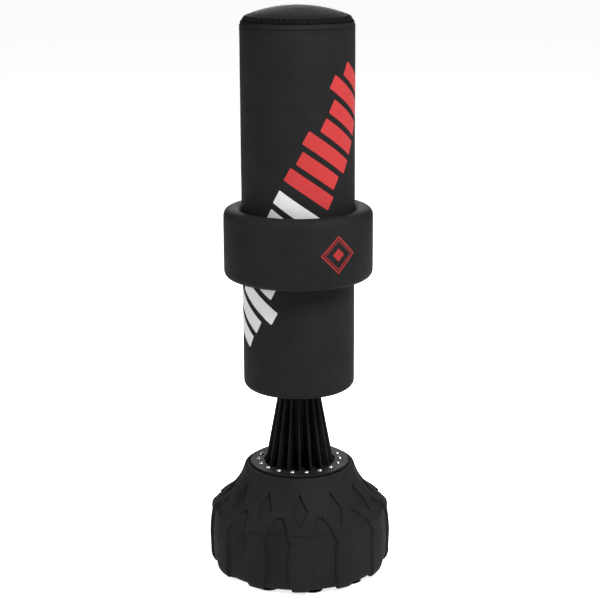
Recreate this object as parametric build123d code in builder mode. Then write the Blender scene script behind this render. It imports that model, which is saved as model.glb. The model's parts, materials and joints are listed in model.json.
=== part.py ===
from build123d import *

import os
from math import asin, cos, degrees, radians, sin

# A free-standing punch bag: a hollow, fillable base on suction cups, a finned rubber neck over a coil
# spring, and a padded bag with a sliding padded collar. Millimetres, +Z up, origin on the floor under
# the middle. The front of the bag faces -Y, and azimuths are counted from there towards +X.

# ---------------------------------------------------------------- driving dimensions: base
BASE_R = 274
BLOCK_BOTTOM_Z = 10
UNDERSIDE_Z = 24
DECK_Z = 316
RIM_Z = 329
TREAD_COUNT = 12
TREAD_DEPTH = 8
TANK_WALL = 14
UNDERSIDE_R = 244
GROOVE_FOOT_R = 250
CUP_COUNT = 10
CUP_AZIMUTH = 10
CUP_CIRCLE_R = 210
CUP_R = 31
FILLER_Y = 212
FILLER_BORE_R = 20
FILLER_DECK_Z = 282
FILLER_NECK_R = 24
FILLER_NECK_H = 12
FILLER_BOSS_R = 34
FILLER_BOSS_Z = 205
FILLER_POCKET_R = 38
FILLER_AZIMUTH = 180
SEAL_T = 2
CAP_R = 30
CAP_H = 18
STUD_R = 4
STUD_HEAD_R = 9
STUD_HEAD_Z = 14
STUD_HEAD_T = 3
STUD_INSERT_R = 6
STUD_INSERT_H = 10.5

# ---------------------------------------------------------------- driving dimensions: neck
FLANGE_TOP_Z = 333
FLANGE_R = 148.5
FLANGE_BORE_R = 107
FLANGE_T = 6
SPRING_PLATE_R = 145
SPRING_PLATE_T = 5
SCREW_COUNT = 18
SCREW_AZIMUTH = 10
SCREW_CIRCLE_R = 122.4
SCREW_HEAD_R = 7.25
SCREW_R = 3
SCREW_LENGTH = 30
SCREW_INSERT_R = 5
SCREW_INSERT_H = 15.5
FIN_COUNT = 18
FIN_T = 6.5
FIN_FOOT_R = 102
FIN_TOP_R = 58.5
SLEEVE_R = 47
SLEEVE_BORE_R = 40.5
SPRING_R = 30
WIRE_R = 4.5
SPRING_TURNS = 11
SPRING_BOSS_R = 25
SPRING_BOSS_H = 32
SPRING_SEAT_T = 6
SEAT_BOLT_R = 6
SEAT_BOLT_HOLE_R = 6.5
SEAT_BOLT_DEPTH = 24
SEAT_BOLT_HEAD_R = 11
SEAT_BOLT_HEAD_H = 8

# ---------------------------------------------------------------- driving dimensions: bag
BAG_R = 165
BAG_BOTTOM_Z = 569
BAG_CORNER_R = 21
SEAM_Z = 1630
APEX_Z = 1690
SKIN_T = 2
BAG_HOLE_R = 60.5
BAG_PLATE_Z = 587
BAG_PLATE_T = 6
TUBE_R = 112
TUBE_WALL = 5
TUBE_TOP_Z = 1612
TUBE_CAP_T = 6
PLATE_BOLT_COUNT = 6
PLATE_BOLT_CIRCLE_R = 80
PLATE_BOLT_R = 5
PLATE_BOLT_HEAD_R = 8.5
PLATE_BOLT_HEAD_H = 7
ZIP_LOW = (158.4, 1646.2)
ZIP_HIGH = (148.2, 1661.4)
ZIP_TAPE_T = 1.2
TOOTH_COUNT = 52
TOOTH_H = 2
TOOTH_W = 3.4
TAPE_SPANS = ((0.03, 0.48), (0.52, 0.97))
TOOTH_SPANS = ((0.14, 0.64), (0.36, 0.86))
SLIDER_ARC = 8
SLIDER_AZIMUTH = 180
PIN_R = 1.2

# ---------------------------------------------------------------- driving dimensions: collar
COLLAR_R = 219
COLLAR_BORE_R = 166.2
COLLAR_BOTTOM_Z = 904
COLLAR_TOP_Z = 1110
COLLAR_CORNER_R = 22

GAP = 0.05
CLEAR = 0.35


def radial_plane(azimuth):
    """The upright half-plane through the axis at an azimuth: local x is the radius, local y is the height."""
    turn = radians(azimuth - 90)
    return Plane(origin=(0, 0, 0), x_dir=(cos(turn), sin(turn), 0), z_dir=(sin(turn), -cos(turn), 0))


def facing_plane(azimuth, distance):
    """An upright plane that faces outwards at an azimuth: local x runs sideways, local y is the height."""
    turn = radians(azimuth - 90)
    out = Vector(cos(turn), sin(turn), 0)
    return Plane(origin=out * distance, x_dir=(-sin(turn), cos(turn), 0), z_dir=out)


def around(count, azimuth, radius):
    """Places in a circle about the axis, the first at an azimuth."""
    return PolarLocations(radius, count, start_angle=azimuth - 90)


def turned(*outline):
    """A solid of revolution about the axis, from an outline of (radius, height) points."""
    with BuildPart() as body:
        with BuildSketch(Plane.XZ):
            with BuildLine():
                Polyline(*outline, close=True)
            make_face()
        revolve(axis=Axis.Z)
    return body.part


def dome_arc(edge_r, rise, apex_z):
    """An arc, centred on the axis, that rises from an edge at a radius to an apex on the axis."""
    sphere_r = (edge_r**2 + rise**2) / (2 * rise)
    sweep_deg = degrees(asin(edge_r / sphere_r))
    return CenterArc((0, apex_z - sphere_r), sphere_r, 90 - sweep_deg, sweep_deg)


def save(builder, name):
    """Labels a finished piece and writes it under its node name."""
    builder.part.label = name
    export_step(builder.part, f"parts/{name}.step")


def zip_point(along, height):
    """A point on the sloping zip band: a share of its width from the lower edge, and a height above it."""
    dr = ZIP_HIGH[0] - ZIP_LOW[0]
    dz = ZIP_HIGH[1] - ZIP_LOW[1]
    width = (dr**2 + dz**2) ** 0.5
    radius = ZIP_LOW[0] + along * dr + height * dz / width
    return (radius, ZIP_LOW[1] + along * dz - height * dr / width)


os.makedirs("parts", exist_ok=True)

# ================================================================ base
# The tank's outline: a sunk deck, a raised rim, a flared shoulder, a rounded edge and a barrelled wall.
with BuildSketch(Plane.XZ) as tank_face:
    with BuildLine():
        Polyline((0, DECK_Z), (146.5, DECK_Z), (146.5, 327), (150.5, 327), (150.5, RIM_Z), (153, RIM_Z))
        ThreePointArc((153, RIM_Z), (162.5, 325), (167, 316))
        ThreePointArc((167, 316), (197, 256), (250, 208))
        ThreePointArc((250, 208), (261, 199.5), (266.5, 184))
        ThreePointArc((266.5, 184), (272.8, 145), (BASE_R, 104))
        Line((BASE_R, 104), (272.5, 52))
        ThreePointArc((272.5, 52), (268.5, 27), (258, BLOCK_BOTTOM_Z))
        Polyline((258, BLOCK_BOTTOM_Z), (0, BLOCK_BOTTOM_Z), (0, DECK_Z))
    make_face()

with BuildPart() as tank_core:
    with BuildSketch(Plane.XZ):
        add(tank_face.sketch)
        offset(amount=-TREAD_DEPTH, kind=Kind.INTERSECTION)
        with Locations((GROOVE_FOOT_R / 2, BLOCK_BOTTOM_Z + TREAD_DEPTH / 2)):
            Rectangle(GROOVE_FOOT_R, TREAD_DEPTH)
    revolve(axis=Axis.Z)

with BuildPart() as tank_cavity:
    with BuildSketch(Plane.XZ):
        add(tank_face.sketch)
        offset(amount=-TANK_WALL, kind=Kind.INTERSECTION)
        with Locations((TANK_WALL / 2, (DECK_Z + BLOCK_BOTTOM_Z) / 2)):
            Rectangle(TANK_WALL, DECK_Z - BLOCK_BOTTOM_Z - 2 * TANK_WALL)
        with Locations((BASE_R / 2, UNDERSIDE_Z)):
            Rectangle(BASE_R, 2 * TANK_WALL, mode=Mode.SUBTRACT)
    revolve(axis=Axis.Z)

# The outer 8 mm of the tank, from which the tread is cut.
with BuildPart() as tread_skin:
    add(turned((120, 0), (300, 0), (300, 300), (120, 300)))
    add(tank_core.part, mode=Mode.SUBTRACT)
    add(turned((0, 0), (GROOVE_FOOT_R, 0), (GROOVE_FOOT_R, 60), (0, 60)), mode=Mode.SUBTRACT)

BLOCK_STEP = 360 / TREAD_COUNT

# One groove: a narrow flat top on the shoulder, widest just under the shoulder's edge, waisted on the wall.
GROOVE_SIDE = ((9.5, 229), (30, 203), (35, 181), (45.5, 167), (38, 132), (38, 66), (44, 34), (44, 0))
with BuildPart() as grooves:
    for index in range(TREAD_COUNT):
        with BuildSketch(facing_plane((index + 0.5) * BLOCK_STEP, 120)):
            with BuildLine():
                Polyline(*GROOVE_SIDE, *((-x, z) for x, z in reversed(GROOVE_SIDE)), close=True)
            make_face()
        extrude(amount=180)
    add(tread_skin.part, mode=Mode.INTERSECT)

# One lozenge on each block's shoulder, except at the back, where the filler stands.
with BuildPart() as lozenges:
    for index in range(TREAD_COUNT):
        if index * BLOCK_STEP != FILLER_AZIMUTH:
            with BuildSketch(facing_plane(index * BLOCK_STEP, 120)):
                with BuildLine():
                    Polyline((0, 288), (24.5, 244), (0, 209), (-24.5, 244), close=True)
                make_face()
            extrude(amount=180)
    add(tread_skin.part, mode=Mode.INTERSECT)

# A rim round the underside hides the cups, which hang from the flat middle.
with BuildPart() as base_shell:
    with BuildSketch(Plane.XZ):
        add(tank_face.sketch)
    revolve(axis=Axis.Z)
    with Locations((0, 0, UNDERSIDE_Z)):
        Cylinder(UNDERSIDE_R, 40, align=(Align.CENTER, Align.CENTER, Align.MAX), mode=Mode.SUBTRACT)
    add(grooves.part, mode=Mode.SUBTRACT)
    add(lozenges.part, mode=Mode.SUBTRACT)
    with Locations((0, FILLER_Y, FILLER_DECK_Z)):
        Cylinder(FILLER_POCKET_R, 60, align=(Align.CENTER, Align.CENTER, Align.MIN), mode=Mode.SUBTRACT)
    with Locations((0, FILLER_Y, FILLER_DECK_Z)):
        Cylinder(FILLER_BOSS_R, FILLER_DECK_Z - FILLER_BOSS_Z, align=(Align.CENTER, Align.CENTER, Align.MAX))
        Cylinder(FILLER_NECK_R, FILLER_NECK_H, align=(Align.CENTER, Align.CENTER, Align.MIN))
    add(tank_cavity.part, mode=Mode.SUBTRACT)
    with around(SCREW_COUNT, SCREW_AZIMUTH, SCREW_CIRCLE_R):
        with Locations((0, 0, DECK_Z - 22)):
            Cylinder(9, 12, align=(Align.CENTER, Align.CENTER, Align.MIN))
    with Locations((0, FILLER_Y, 200)):
        Cylinder(FILLER_BORE_R, 100, align=(Align.CENTER, Align.CENTER, Align.MIN), mode=Mode.SUBTRACT)
    with around(SCREW_COUNT, SCREW_AZIMUTH, SCREW_CIRCLE_R):
        with Locations((0, 0, DECK_Z - 16)):
            Cylinder(SCREW_INSERT_R, 16, align=(Align.CENTER, Align.CENTER, Align.MIN), mode=Mode.SUBTRACT)
    with around(CUP_COUNT, CUP_AZIMUTH, CUP_CIRCLE_R):
        with Locations((0, 0, UNDERSIDE_Z)):
            Cylinder(STUD_INSERT_R, 11, align=(Align.CENTER, Align.CENTER, Align.MIN), mode=Mode.SUBTRACT)
    with Locations((0, 0, DECK_Z - 9)):
        Cylinder(15, 9, align=(Align.CENTER, Align.CENTER, Align.MIN), mode=Mode.SUBTRACT)
save(base_shell, "base_shell")

with BuildPart() as filler_seal:
    with Locations((0, FILLER_Y, FILLER_DECK_Z + FILLER_NECK_H)):
        Cylinder(FILLER_NECK_R, SEAL_T, align=(Align.CENTER, Align.CENTER, Align.MIN))
        Cylinder(FILLER_BORE_R, SEAL_T, align=(Align.CENTER, Align.CENTER, Align.MIN), mode=Mode.SUBTRACT)
save(filler_seal, "filler_seal")

# The cap's skirt turns on the filler's neck. Its rim is scalloped, and a bar across the top gives a grip.
with BuildPart() as filler_cap:
    with Locations((0, FILLER_Y, FILLER_DECK_Z + CLEAR)):
        Cylinder(CAP_R, CAP_H - CLEAR, align=(Align.CENTER, Align.CENTER, Align.MIN))
        Cylinder(FILLER_NECK_R + CLEAR, 14, align=(Align.CENTER, Align.CENTER, Align.MIN), mode=Mode.SUBTRACT)
    chamfer(filler_cap.faces().sort_by(Axis.Z)[-1].edges(), 1.5)
    with Locations((0, FILLER_Y, FILLER_DECK_Z)):
        with PolarLocations(CAP_R + 1, 24):
            Cylinder(2, 60, mode=Mode.SUBTRACT)
    with Locations((0, FILLER_Y, FILLER_DECK_Z + CAP_H)):
        Box(42, 8, 6, align=(Align.CENTER, Align.CENTER, Align.MIN))
save(filler_cap, "filler_cap")

# One suction cup, turned about its own axis: a thin flared bell under a solid neck.
with BuildPart() as one_cup:
    with BuildSketch(Plane.XZ):
        with BuildLine():
            Polyline((0, 9), (0, UNDERSIDE_Z), (15, UNDERSIDE_Z))
            ThreePointArc((15, UNDERSIDE_Z), (19, 14.5), (CUP_R, 2.2))
            Polyline((CUP_R, 2.2), (CUP_R, 0), (CUP_R - 4, 0))
            dome_arc(CUP_R - 4, 9, 9)
        make_face()
    revolve(axis=Axis.Z)
    with Locations((0, 0, STUD_HEAD_Z)):
        Cylinder(STUD_HEAD_R, STUD_HEAD_T, align=(Align.CENTER, Align.CENTER, Align.MIN), mode=Mode.SUBTRACT)
        Cylinder(STUD_R, 10, align=(Align.CENTER, Align.CENTER, Align.MIN), mode=Mode.SUBTRACT)

with BuildPart() as suction_cups:
    with around(CUP_COUNT, CUP_AZIMUTH, CUP_CIRCLE_R):
        add(one_cup.part)
save(suction_cups, "suction_cups")

with BuildPart() as cup_studs:
    with around(CUP_COUNT, CUP_AZIMUTH, CUP_CIRCLE_R):
        with Locations((0, 0, STUD_HEAD_Z + GAP)):
            Cylinder(STUD_HEAD_R - GAP, STUD_HEAD_T - 2 * GAP, align=(Align.CENTER, Align.CENTER, Align.MIN))
            Cylinder(STUD_R - GAP, 19, align=(Align.CENTER, Align.CENTER, Align.MIN))
save(cup_studs, "cup_studs")

with BuildPart() as cup_inserts:
    with around(CUP_COUNT, CUP_AZIMUTH, CUP_CIRCLE_R):
        with Locations((0, 0, UNDERSIDE_Z)):
            Cylinder(STUD_INSERT_R - GAP, STUD_INSERT_H, align=(Align.CENTER, Align.CENTER, Align.MIN))
            Cylinder(STUD_R, STUD_INSERT_H, align=(Align.CENTER, Align.CENTER, Align.MIN), mode=Mode.SUBTRACT)
save(cup_inserts, "cup_inserts")

# ================================================================ neck
SEAT_Z = DECK_Z + SPRING_PLATE_T
CLAMP_Z = FLANGE_TOP_Z - FLANGE_T

with BuildPart() as lower_spring_plate:
    with Locations((0, 0, DECK_Z)):
        Cylinder(SPRING_PLATE_R, SPRING_PLATE_T, align=(Align.CENTER, Align.CENTER, Align.MIN))
    with around(SCREW_COUNT, SCREW_AZIMUTH, SCREW_CIRCLE_R):
        with Locations((0, 0, DECK_Z)):
            Cylinder(SCREW_R + 0.5, 30, mode=Mode.SUBTRACT)
    with Locations((0, 0, DECK_Z)):
        Cylinder(SEAT_BOLT_HOLE_R, 30, mode=Mode.SUBTRACT)
save(lower_spring_plate, "lower_spring_plate")

with BuildPart() as lower_spring_seat:
    with Locations((0, 0, SEAT_Z)):
        Cylinder(38, SPRING_SEAT_T, align=(Align.CENTER, Align.CENTER, Align.MIN))
        Cylinder(SPRING_BOSS_R, SPRING_BOSS_H, align=(Align.CENTER, Align.CENTER, Align.MIN))
        Cylinder(
            SEAT_BOLT_R,
            SEAT_BOLT_DEPTH,
            align=(Align.CENTER, Align.CENTER, Align.MIN),
            mode=Mode.SUBTRACT,
        )
    chamfer(lower_spring_seat.faces().sort_by(Axis.Z)[-1].edges(), 3)
save(lower_spring_seat, "lower_spring_seat")

with BuildPart() as lower_seat_bolt:
    with BuildSketch(Plane.XY.offset(DECK_Z - SEAT_BOLT_HEAD_H)):
        RegularPolygon(SEAT_BOLT_HEAD_R, 6)
    extrude(amount=SEAT_BOLT_HEAD_H - GAP)
    with Locations((0, 0, DECK_Z - SEAT_BOLT_HEAD_H)):
        Cylinder(SEAT_BOLT_R - GAP, 34, align=(Align.CENTER, Align.CENTER, Align.MIN))
save(lower_seat_bolt, "lower_seat_bolt")

with BuildPart() as clamp_flange:
    with Locations((0, 0, CLAMP_Z)):
        Cylinder(FLANGE_R, FLANGE_T, align=(Align.CENTER, Align.CENTER, Align.MIN))
        Cylinder(FLANGE_BORE_R, FLANGE_T, align=(Align.CENTER, Align.CENTER, Align.MIN), mode=Mode.SUBTRACT)
    fillet(clamp_flange.faces().sort_by(Axis.Z)[-1].edges(), 1.5)
    with around(SCREW_COUNT, SCREW_AZIMUTH, SCREW_CIRCLE_R):
        with Locations((0, 0, CLAMP_Z)):
            Cylinder(SCREW_R + 0.5, 30, mode=Mode.SUBTRACT)
save(clamp_flange, "clamp_flange")

# One button-head screw, with a hexagon socket, standing on the flange.
with BuildPart() as one_screw:
    with BuildSketch(Plane.XZ):
        with BuildLine():
            ThreePointArc((0, 5), (5, 3.6), (SCREW_HEAD_R, 0))
            Polyline((SCREW_HEAD_R, 0), (SCREW_R, 0), (SCREW_R, -SCREW_LENGTH), (0, -SCREW_LENGTH), (0, 5))
        make_face()
    revolve(axis=Axis.Z)
    with BuildSketch(Plane.XY.offset(2.4)):
        RegularPolygon(2.5, 6)
    extrude(amount=5, mode=Mode.SUBTRACT)

with BuildPart() as flange_screws:
    with around(SCREW_COUNT, SCREW_AZIMUTH, SCREW_CIRCLE_R):
        with Locations((0, 0, FLANGE_TOP_Z)):
            add(one_screw.part)
save(flange_screws, "flange_screws")

with BuildPart() as flange_inserts:
    with around(SCREW_COUNT, SCREW_AZIMUTH, SCREW_CIRCLE_R):
        with Locations((0, 0, DECK_Z)):
            Cylinder(SCREW_INSERT_R - GAP, SCREW_INSERT_H, align=(Align.CENTER, Align.CENTER, Align.MAX))
            Cylinder(
                SCREW_R + GAP,
                SCREW_INSERT_H,
                align=(Align.CENTER, Align.CENTER, Align.MAX),
                mode=Mode.SUBTRACT,
            )
save(flange_inserts, "flange_inserts")

# One fin of the boot, along +X: a thin blade that tapers from the foot to the bag.
with BuildPart() as one_fin:
    with BuildSketch(Plane.XZ):
        with BuildLine():
            Polyline(
                (SLEEVE_R - 2, CLAMP_Z - 1),
                (FIN_FOOT_R + 3, CLAMP_Z - 1),
                (FIN_FOOT_R + 3, FLANGE_TOP_Z),
                (FIN_FOOT_R, FLANGE_TOP_Z + 3),
                (FIN_TOP_R, BAG_BOTTOM_Z),
                (SLEEVE_R - 2, BAG_BOTTOM_Z),
                close=True,
            )
        make_face()
    extrude(amount=FIN_T / 2, both=True)

# The boot: a foot clamped under the flange, a sleeve over the spring, fins, and a collar in the bag's base.
with BuildPart() as neck_boot:
    add(
        turned(
            (SLEEVE_BORE_R, SEAT_Z),
            (SPRING_PLATE_R, SEAT_Z),
            (SPRING_PLATE_R, CLAMP_Z),
            (SLEEVE_R + 4, CLAMP_Z),
            (SLEEVE_R, CLAMP_Z + 14),
            (SLEEVE_R, BAG_BOTTOM_Z - 14),
            (FIN_TOP_R - 1, BAG_BOTTOM_Z - 2),
            (FIN_TOP_R - 1, BAG_PLATE_Z - CLEAR),
            (45, BAG_PLATE_Z - CLEAR),
            (45, BAG_PLATE_Z - SPRING_SEAT_T - CLEAR),
            (SLEEVE_BORE_R, BAG_PLATE_Z - SPRING_SEAT_T - CLEAR),
        )
    )
    with around(FIN_COUNT, 0, 0):
        add(one_fin.part)
    with around(SCREW_COUNT, SCREW_AZIMUTH, SCREW_CIRCLE_R):
        with Locations((0, 0, CLAMP_Z)):
            Cylinder(SCREW_R + 0.5, 30, mode=Mode.SUBTRACT)
save(neck_boot, "neck_boot")

SPRING_LOW_Z = SEAT_Z + SPRING_SEAT_T + WIRE_R + CLEAR
SPRING_HIGH_Z = BAG_PLATE_Z - SPRING_SEAT_T - WIRE_R - CLEAR
with BuildPart() as coil_spring:
    with BuildLine() as spring_line:
        Helix(
            pitch=(SPRING_HIGH_Z - SPRING_LOW_Z) / SPRING_TURNS,
            height=SPRING_HIGH_Z - SPRING_LOW_Z,
            radius=SPRING_R,
            center=(0, 0, SPRING_LOW_Z),
        )
    with BuildSketch(Plane(origin=spring_line.line @ 0, z_dir=spring_line.line % 0)):
        Circle(WIRE_R)
    sweep(is_frenet=True)
save(coil_spring, "coil_spring")

with BuildPart() as upper_spring_seat:
    with Locations((0, 0, BAG_PLATE_Z)):
        Cylinder(44, SPRING_SEAT_T, align=(Align.CENTER, Align.CENTER, Align.MAX))
        Cylinder(SPRING_BOSS_R, SPRING_BOSS_H, align=(Align.CENTER, Align.CENTER, Align.MAX))
        Cylinder(
            SEAT_BOLT_R,
            SEAT_BOLT_DEPTH,
            align=(Align.CENTER, Align.CENTER, Align.MAX),
            mode=Mode.SUBTRACT,
        )
    chamfer(upper_spring_seat.faces().sort_by(Axis.Z)[0].edges(), 3)
save(upper_spring_seat, "upper_spring_seat")

# ================================================================ bag, inside
PLATE_TOP_Z = BAG_PLATE_Z + BAG_PLATE_T
BASE_CAP_T = 8

with BuildPart() as bag_plate:
    with Locations((0, 0, BAG_PLATE_Z)):
        Cylinder(TUBE_R, BAG_PLATE_T, align=(Align.CENTER, Align.CENTER, Align.MIN))
        Cylinder(SEAT_BOLT_HOLE_R, 30, mode=Mode.SUBTRACT)
    with around(PLATE_BOLT_COUNT, 0, PLATE_BOLT_CIRCLE_R):
        with Locations((0, 0, BAG_PLATE_Z)):
            Cylinder(PLATE_BOLT_R, 30, mode=Mode.SUBTRACT)
save(bag_plate, "bag_plate")

with BuildPart() as upper_seat_bolt:
    with BuildSketch(Plane.XY.offset(PLATE_TOP_Z + GAP)):
        RegularPolygon(SEAT_BOLT_HEAD_R, 6)
    extrude(amount=SEAT_BOLT_HEAD_H)
    with Locations((0, 0, PLATE_TOP_Z + SEAT_BOLT_HEAD_H)):
        Cylinder(SEAT_BOLT_R - GAP, 36, align=(Align.CENTER, Align.CENTER, Align.MAX))
save(upper_seat_bolt, "upper_seat_bolt")

# A moulded socket that plugs the tube's lower end and is bolted to the plate.
with BuildPart() as tube_base_cap:
    add(
        turned(
            (16, PLATE_TOP_Z),
            (TUBE_R, PLATE_TOP_Z),
            (TUBE_R, PLATE_TOP_Z + BASE_CAP_T),
            (TUBE_R - TUBE_WALL - 0.1, PLATE_TOP_Z + BASE_CAP_T),
            (TUBE_R - TUBE_WALL - 0.1, PLATE_TOP_Z + 60),
            (TUBE_R - TUBE_WALL - 5, PLATE_TOP_Z + 60),
            (TUBE_R - TUBE_WALL - 5, PLATE_TOP_Z + BASE_CAP_T),
            (16, PLATE_TOP_Z + BASE_CAP_T),
        )
    )
    with around(PLATE_BOLT_COUNT, 0, PLATE_BOLT_CIRCLE_R):
        with Locations((0, 0, PLATE_TOP_Z)):
            Cylinder(PLATE_BOLT_R + 0.3, 30, mode=Mode.SUBTRACT)
save(tube_base_cap, "tube_base_cap")

with BuildPart() as plate_bolts:
    with around(PLATE_BOLT_COUNT, 0, PLATE_BOLT_CIRCLE_R):
        with Locations((0, 0, PLATE_TOP_Z + BASE_CAP_T)):
            Cylinder(PLATE_BOLT_HEAD_R, PLATE_BOLT_HEAD_H, align=(Align.CENTER, Align.CENTER, Align.MIN))
            Cylinder(
                PLATE_BOLT_R - GAP,
                BASE_CAP_T + BAG_PLATE_T,
                align=(Align.CENTER, Align.CENTER, Align.MAX),
            )
save(plate_bolts, "plate_bolts")

with BuildPart() as inner_tube:
    add(
        turned(
            (TUBE_R - TUBE_WALL, PLATE_TOP_Z + BASE_CAP_T),
            (TUBE_R, PLATE_TOP_Z + BASE_CAP_T),
            (TUBE_R, TUBE_TOP_Z),
            (TUBE_R - TUBE_WALL, TUBE_TOP_Z),
        )
    )
save(inner_tube, "inner_tube")

with BuildPart() as tube_top_cap:
    add(
        turned(
            (0, TUBE_TOP_Z),
            (TUBE_R - TUBE_WALL - 5, TUBE_TOP_Z),
            (TUBE_R - TUBE_WALL - 5, TUBE_TOP_Z - 50),
            (TUBE_R - TUBE_WALL - 0.1, TUBE_TOP_Z - 50),
            (TUBE_R - TUBE_WALL - 0.1, TUBE_TOP_Z),
            (TUBE_R, TUBE_TOP_Z),
            (TUBE_R, TUBE_TOP_Z + TUBE_CAP_T),
            (0, TUBE_TOP_Z + TUBE_CAP_T),
        )
    )
save(tube_top_cap, "tube_top_cap")

CORE_TOP_Z = TUBE_TOP_Z + TUBE_CAP_T
FOAM_R = BAG_R - SKIN_T - 0.2

with BuildPart() as foam_core:
    add(
        turned(
            (TUBE_R + 0.2, BAG_PLATE_Z),
            (FOAM_R - 0.3, BAG_PLATE_Z),
            (FOAM_R, BAG_BOTTOM_Z + BAG_CORNER_R),
            (FOAM_R, CORE_TOP_Z),
            (TUBE_R + 0.2, CORE_TOP_Z),
        )
    )
save(foam_core, "foam_core")

PAD_R = FOAM_R - 0.4
with BuildPart() as base_pad:
    with BuildSketch(Plane.XZ):
        with BuildLine():
            Polyline((PAD_R, BAG_PLATE_Z), (BAG_HOLE_R, BAG_PLATE_Z), (BAG_HOLE_R, 571.1), (144, 571.1))
            ThreePointArc((144, 571.1), (156.9, 576.6), (PAD_R, BAG_PLATE_Z))
        make_face()
    revolve(axis=Axis.Z)
save(base_pad, "base_pad")

PAD_APEX_Z = APEX_Z - 2.6
PAD_EDGE_Z = 1658.5
with BuildPart() as top_pad:
    with BuildSketch(Plane.XZ):
        with BuildLine():
            Polyline(
                (0, PAD_APEX_Z),
                (0, CORE_TOP_Z),
                (FOAM_R, CORE_TOP_Z),
                (FOAM_R, SEAM_Z - 1),
                (155.5, 1644.6),
                (146, PAD_EDGE_Z),
            )
            dome_arc(146, PAD_APEX_Z - PAD_EDGE_Z, PAD_APEX_Z)
        make_face()
    revolve(axis=Axis.Z)
save(top_pad, "top_pad")

# ================================================================ bag, cover
with BuildPart() as cover_base:
    add(
        turned(
            (BAG_HOLE_R, BAG_BOTTOM_Z),
            (143.8, BAG_BOTTOM_Z),
            (143.8, BAG_BOTTOM_Z + SKIN_T),
            (BAG_HOLE_R, BAG_BOTTOM_Z + SKIN_T),
        )
    )
save(cover_base, "cover_base")

HEM_R = BAG_R - BAG_CORNER_R
HEM_Z = BAG_BOTTOM_Z + BAG_CORNER_R
LINING_R = BAG_R - SKIN_T
with BuildPart() as cover_sleeve:
    with BuildSketch(Plane.XZ):
        with BuildLine():
            RadiusArc((HEM_R, BAG_BOTTOM_Z), (BAG_R, HEM_Z), -BAG_CORNER_R)
            Polyline((BAG_R, HEM_Z), (BAG_R, SEAM_Z - 0.5), (LINING_R, SEAM_Z - 0.5), (LINING_R, HEM_Z))
            RadiusArc((LINING_R, HEM_Z), (HEM_R, BAG_BOTTOM_Z + SKIN_T), BAG_CORNER_R - SKIN_T)
            Line((HEM_R, BAG_BOTTOM_Z + SKIN_T), (HEM_R, BAG_BOTTOM_Z))
        make_face()
    revolve(axis=Axis.Z)
save(cover_sleeve, "cover_sleeve")

with BuildPart() as shoulder_band:
    with BuildSketch(Plane.XZ):
        with BuildLine():
            ThreePointArc((BAG_R, SEAM_Z + 0.5), (163.1, 1637.8), (158.9, 1645.7))
            Line((158.9, 1645.7), (157.1, 1644.6))
            ThreePointArc((157.1, 1644.6), (161.2, 1637.2), (LINING_R, SEAM_Z + 0.5))
            Line((LINING_R, SEAM_Z + 0.5), (BAG_R, SEAM_Z + 0.5))
        make_face()
    revolve(axis=Axis.Z)
save(shoulder_band, "shoulder_band")


def zip_strip(low, high, bottom, top):
    """The four corners of a strip of the zip band, between two shares of its width and two heights."""
    return (zip_point(low, bottom), zip_point(high, bottom), zip_point(high, top), zip_point(low, top))


with BuildPart() as zip_tape_lower:
    add(turned(*zip_strip(*TAPE_SPANS[0], -ZIP_TAPE_T, 0)))
save(zip_tape_lower, "zip_tape_lower")

with BuildPart() as zip_tape_upper:
    add(turned(*zip_strip(*TAPE_SPANS[1], -ZIP_TAPE_T, 0)))
save(zip_tape_upper, "zip_tape_upper")


def tooth(azimuth, low, high):
    """One zip tooth, standing on the tape between two shares of the band's width."""
    with BuildPart() as block:
        with BuildSketch(radial_plane(azimuth)):
            with BuildLine():
                Polyline(*zip_strip(low, high, 0, TOOTH_H), close=True)
            make_face()
        extrude(amount=TOOTH_W / 2, both=True)
    return block.part


TOOTH_STEP = 360 / TOOTH_COUNT
with BuildPart() as zip_teeth:
    for index in range(TOOTH_COUNT):
        add(tooth(TOOTH_STEP * index, *TOOTH_SPANS[0]))
        add(tooth(TOOTH_STEP * (index + 0.5), *TOOTH_SPANS[1]))
save(zip_teeth, "zip_teeth")

with BuildPart() as top_panel:
    with BuildSketch(Plane.XZ):
        with BuildLine():
            dome_arc(148, APEX_Z - 1661.6, APEX_Z)
            Line((0, APEX_Z), (0, APEX_Z - SKIN_T))
            dome_arc(146.8, APEX_Z - SKIN_T - 1659.9, APEX_Z - SKIN_T)
            Line((146.8, 1659.9), (148, 1661.6))
        make_face()
    revolve(axis=Axis.Z)
save(top_panel, "top_panel")

# ================================================================ zip slider and its pull
# The slider's roof and skirts are parts of rings about the bag's axis, so they clear the teeth all round.
PULL_PIN = zip_point(0.5, 9.5)
SLIDER_START = SLIDER_AZIMUTH - SLIDER_ARC / 2

with BuildPart() as zip_slider:
    with BuildSketch(radial_plane(SLIDER_START)):
        with BuildLine():
            Polyline(
                zip_point(0.02, 0.4),
                zip_point(0.02, 4.2),
                zip_point(0.98, 4.2),
                zip_point(0.98, 0.4),
                zip_point(0.91, 0.4),
                zip_point(0.91, 2.5),
                zip_point(0.09, 2.5),
                zip_point(0.09, 0.4),
                close=True,
            )
        make_face()
    revolve(axis=Axis.Z, revolution_arc=SLIDER_ARC)
    for side in (-5, 5):
        with BuildSketch(radial_plane(SLIDER_AZIMUTH).offset(side)):
            with BuildLine():
                Polyline(
                    zip_point(0.25, 3.8),
                    zip_point(0.38, 11.5),
                    zip_point(0.62, 11.5),
                    zip_point(0.75, 3.8),
                    close=True,
                )
            make_face()
        extrude(amount=0.8, both=True)
    with BuildSketch(radial_plane(SLIDER_AZIMUTH)):
        with Locations(PULL_PIN):
            Circle(PIN_R)
    extrude(amount=5, both=True)
save(zip_slider, "zip_slider")

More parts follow.
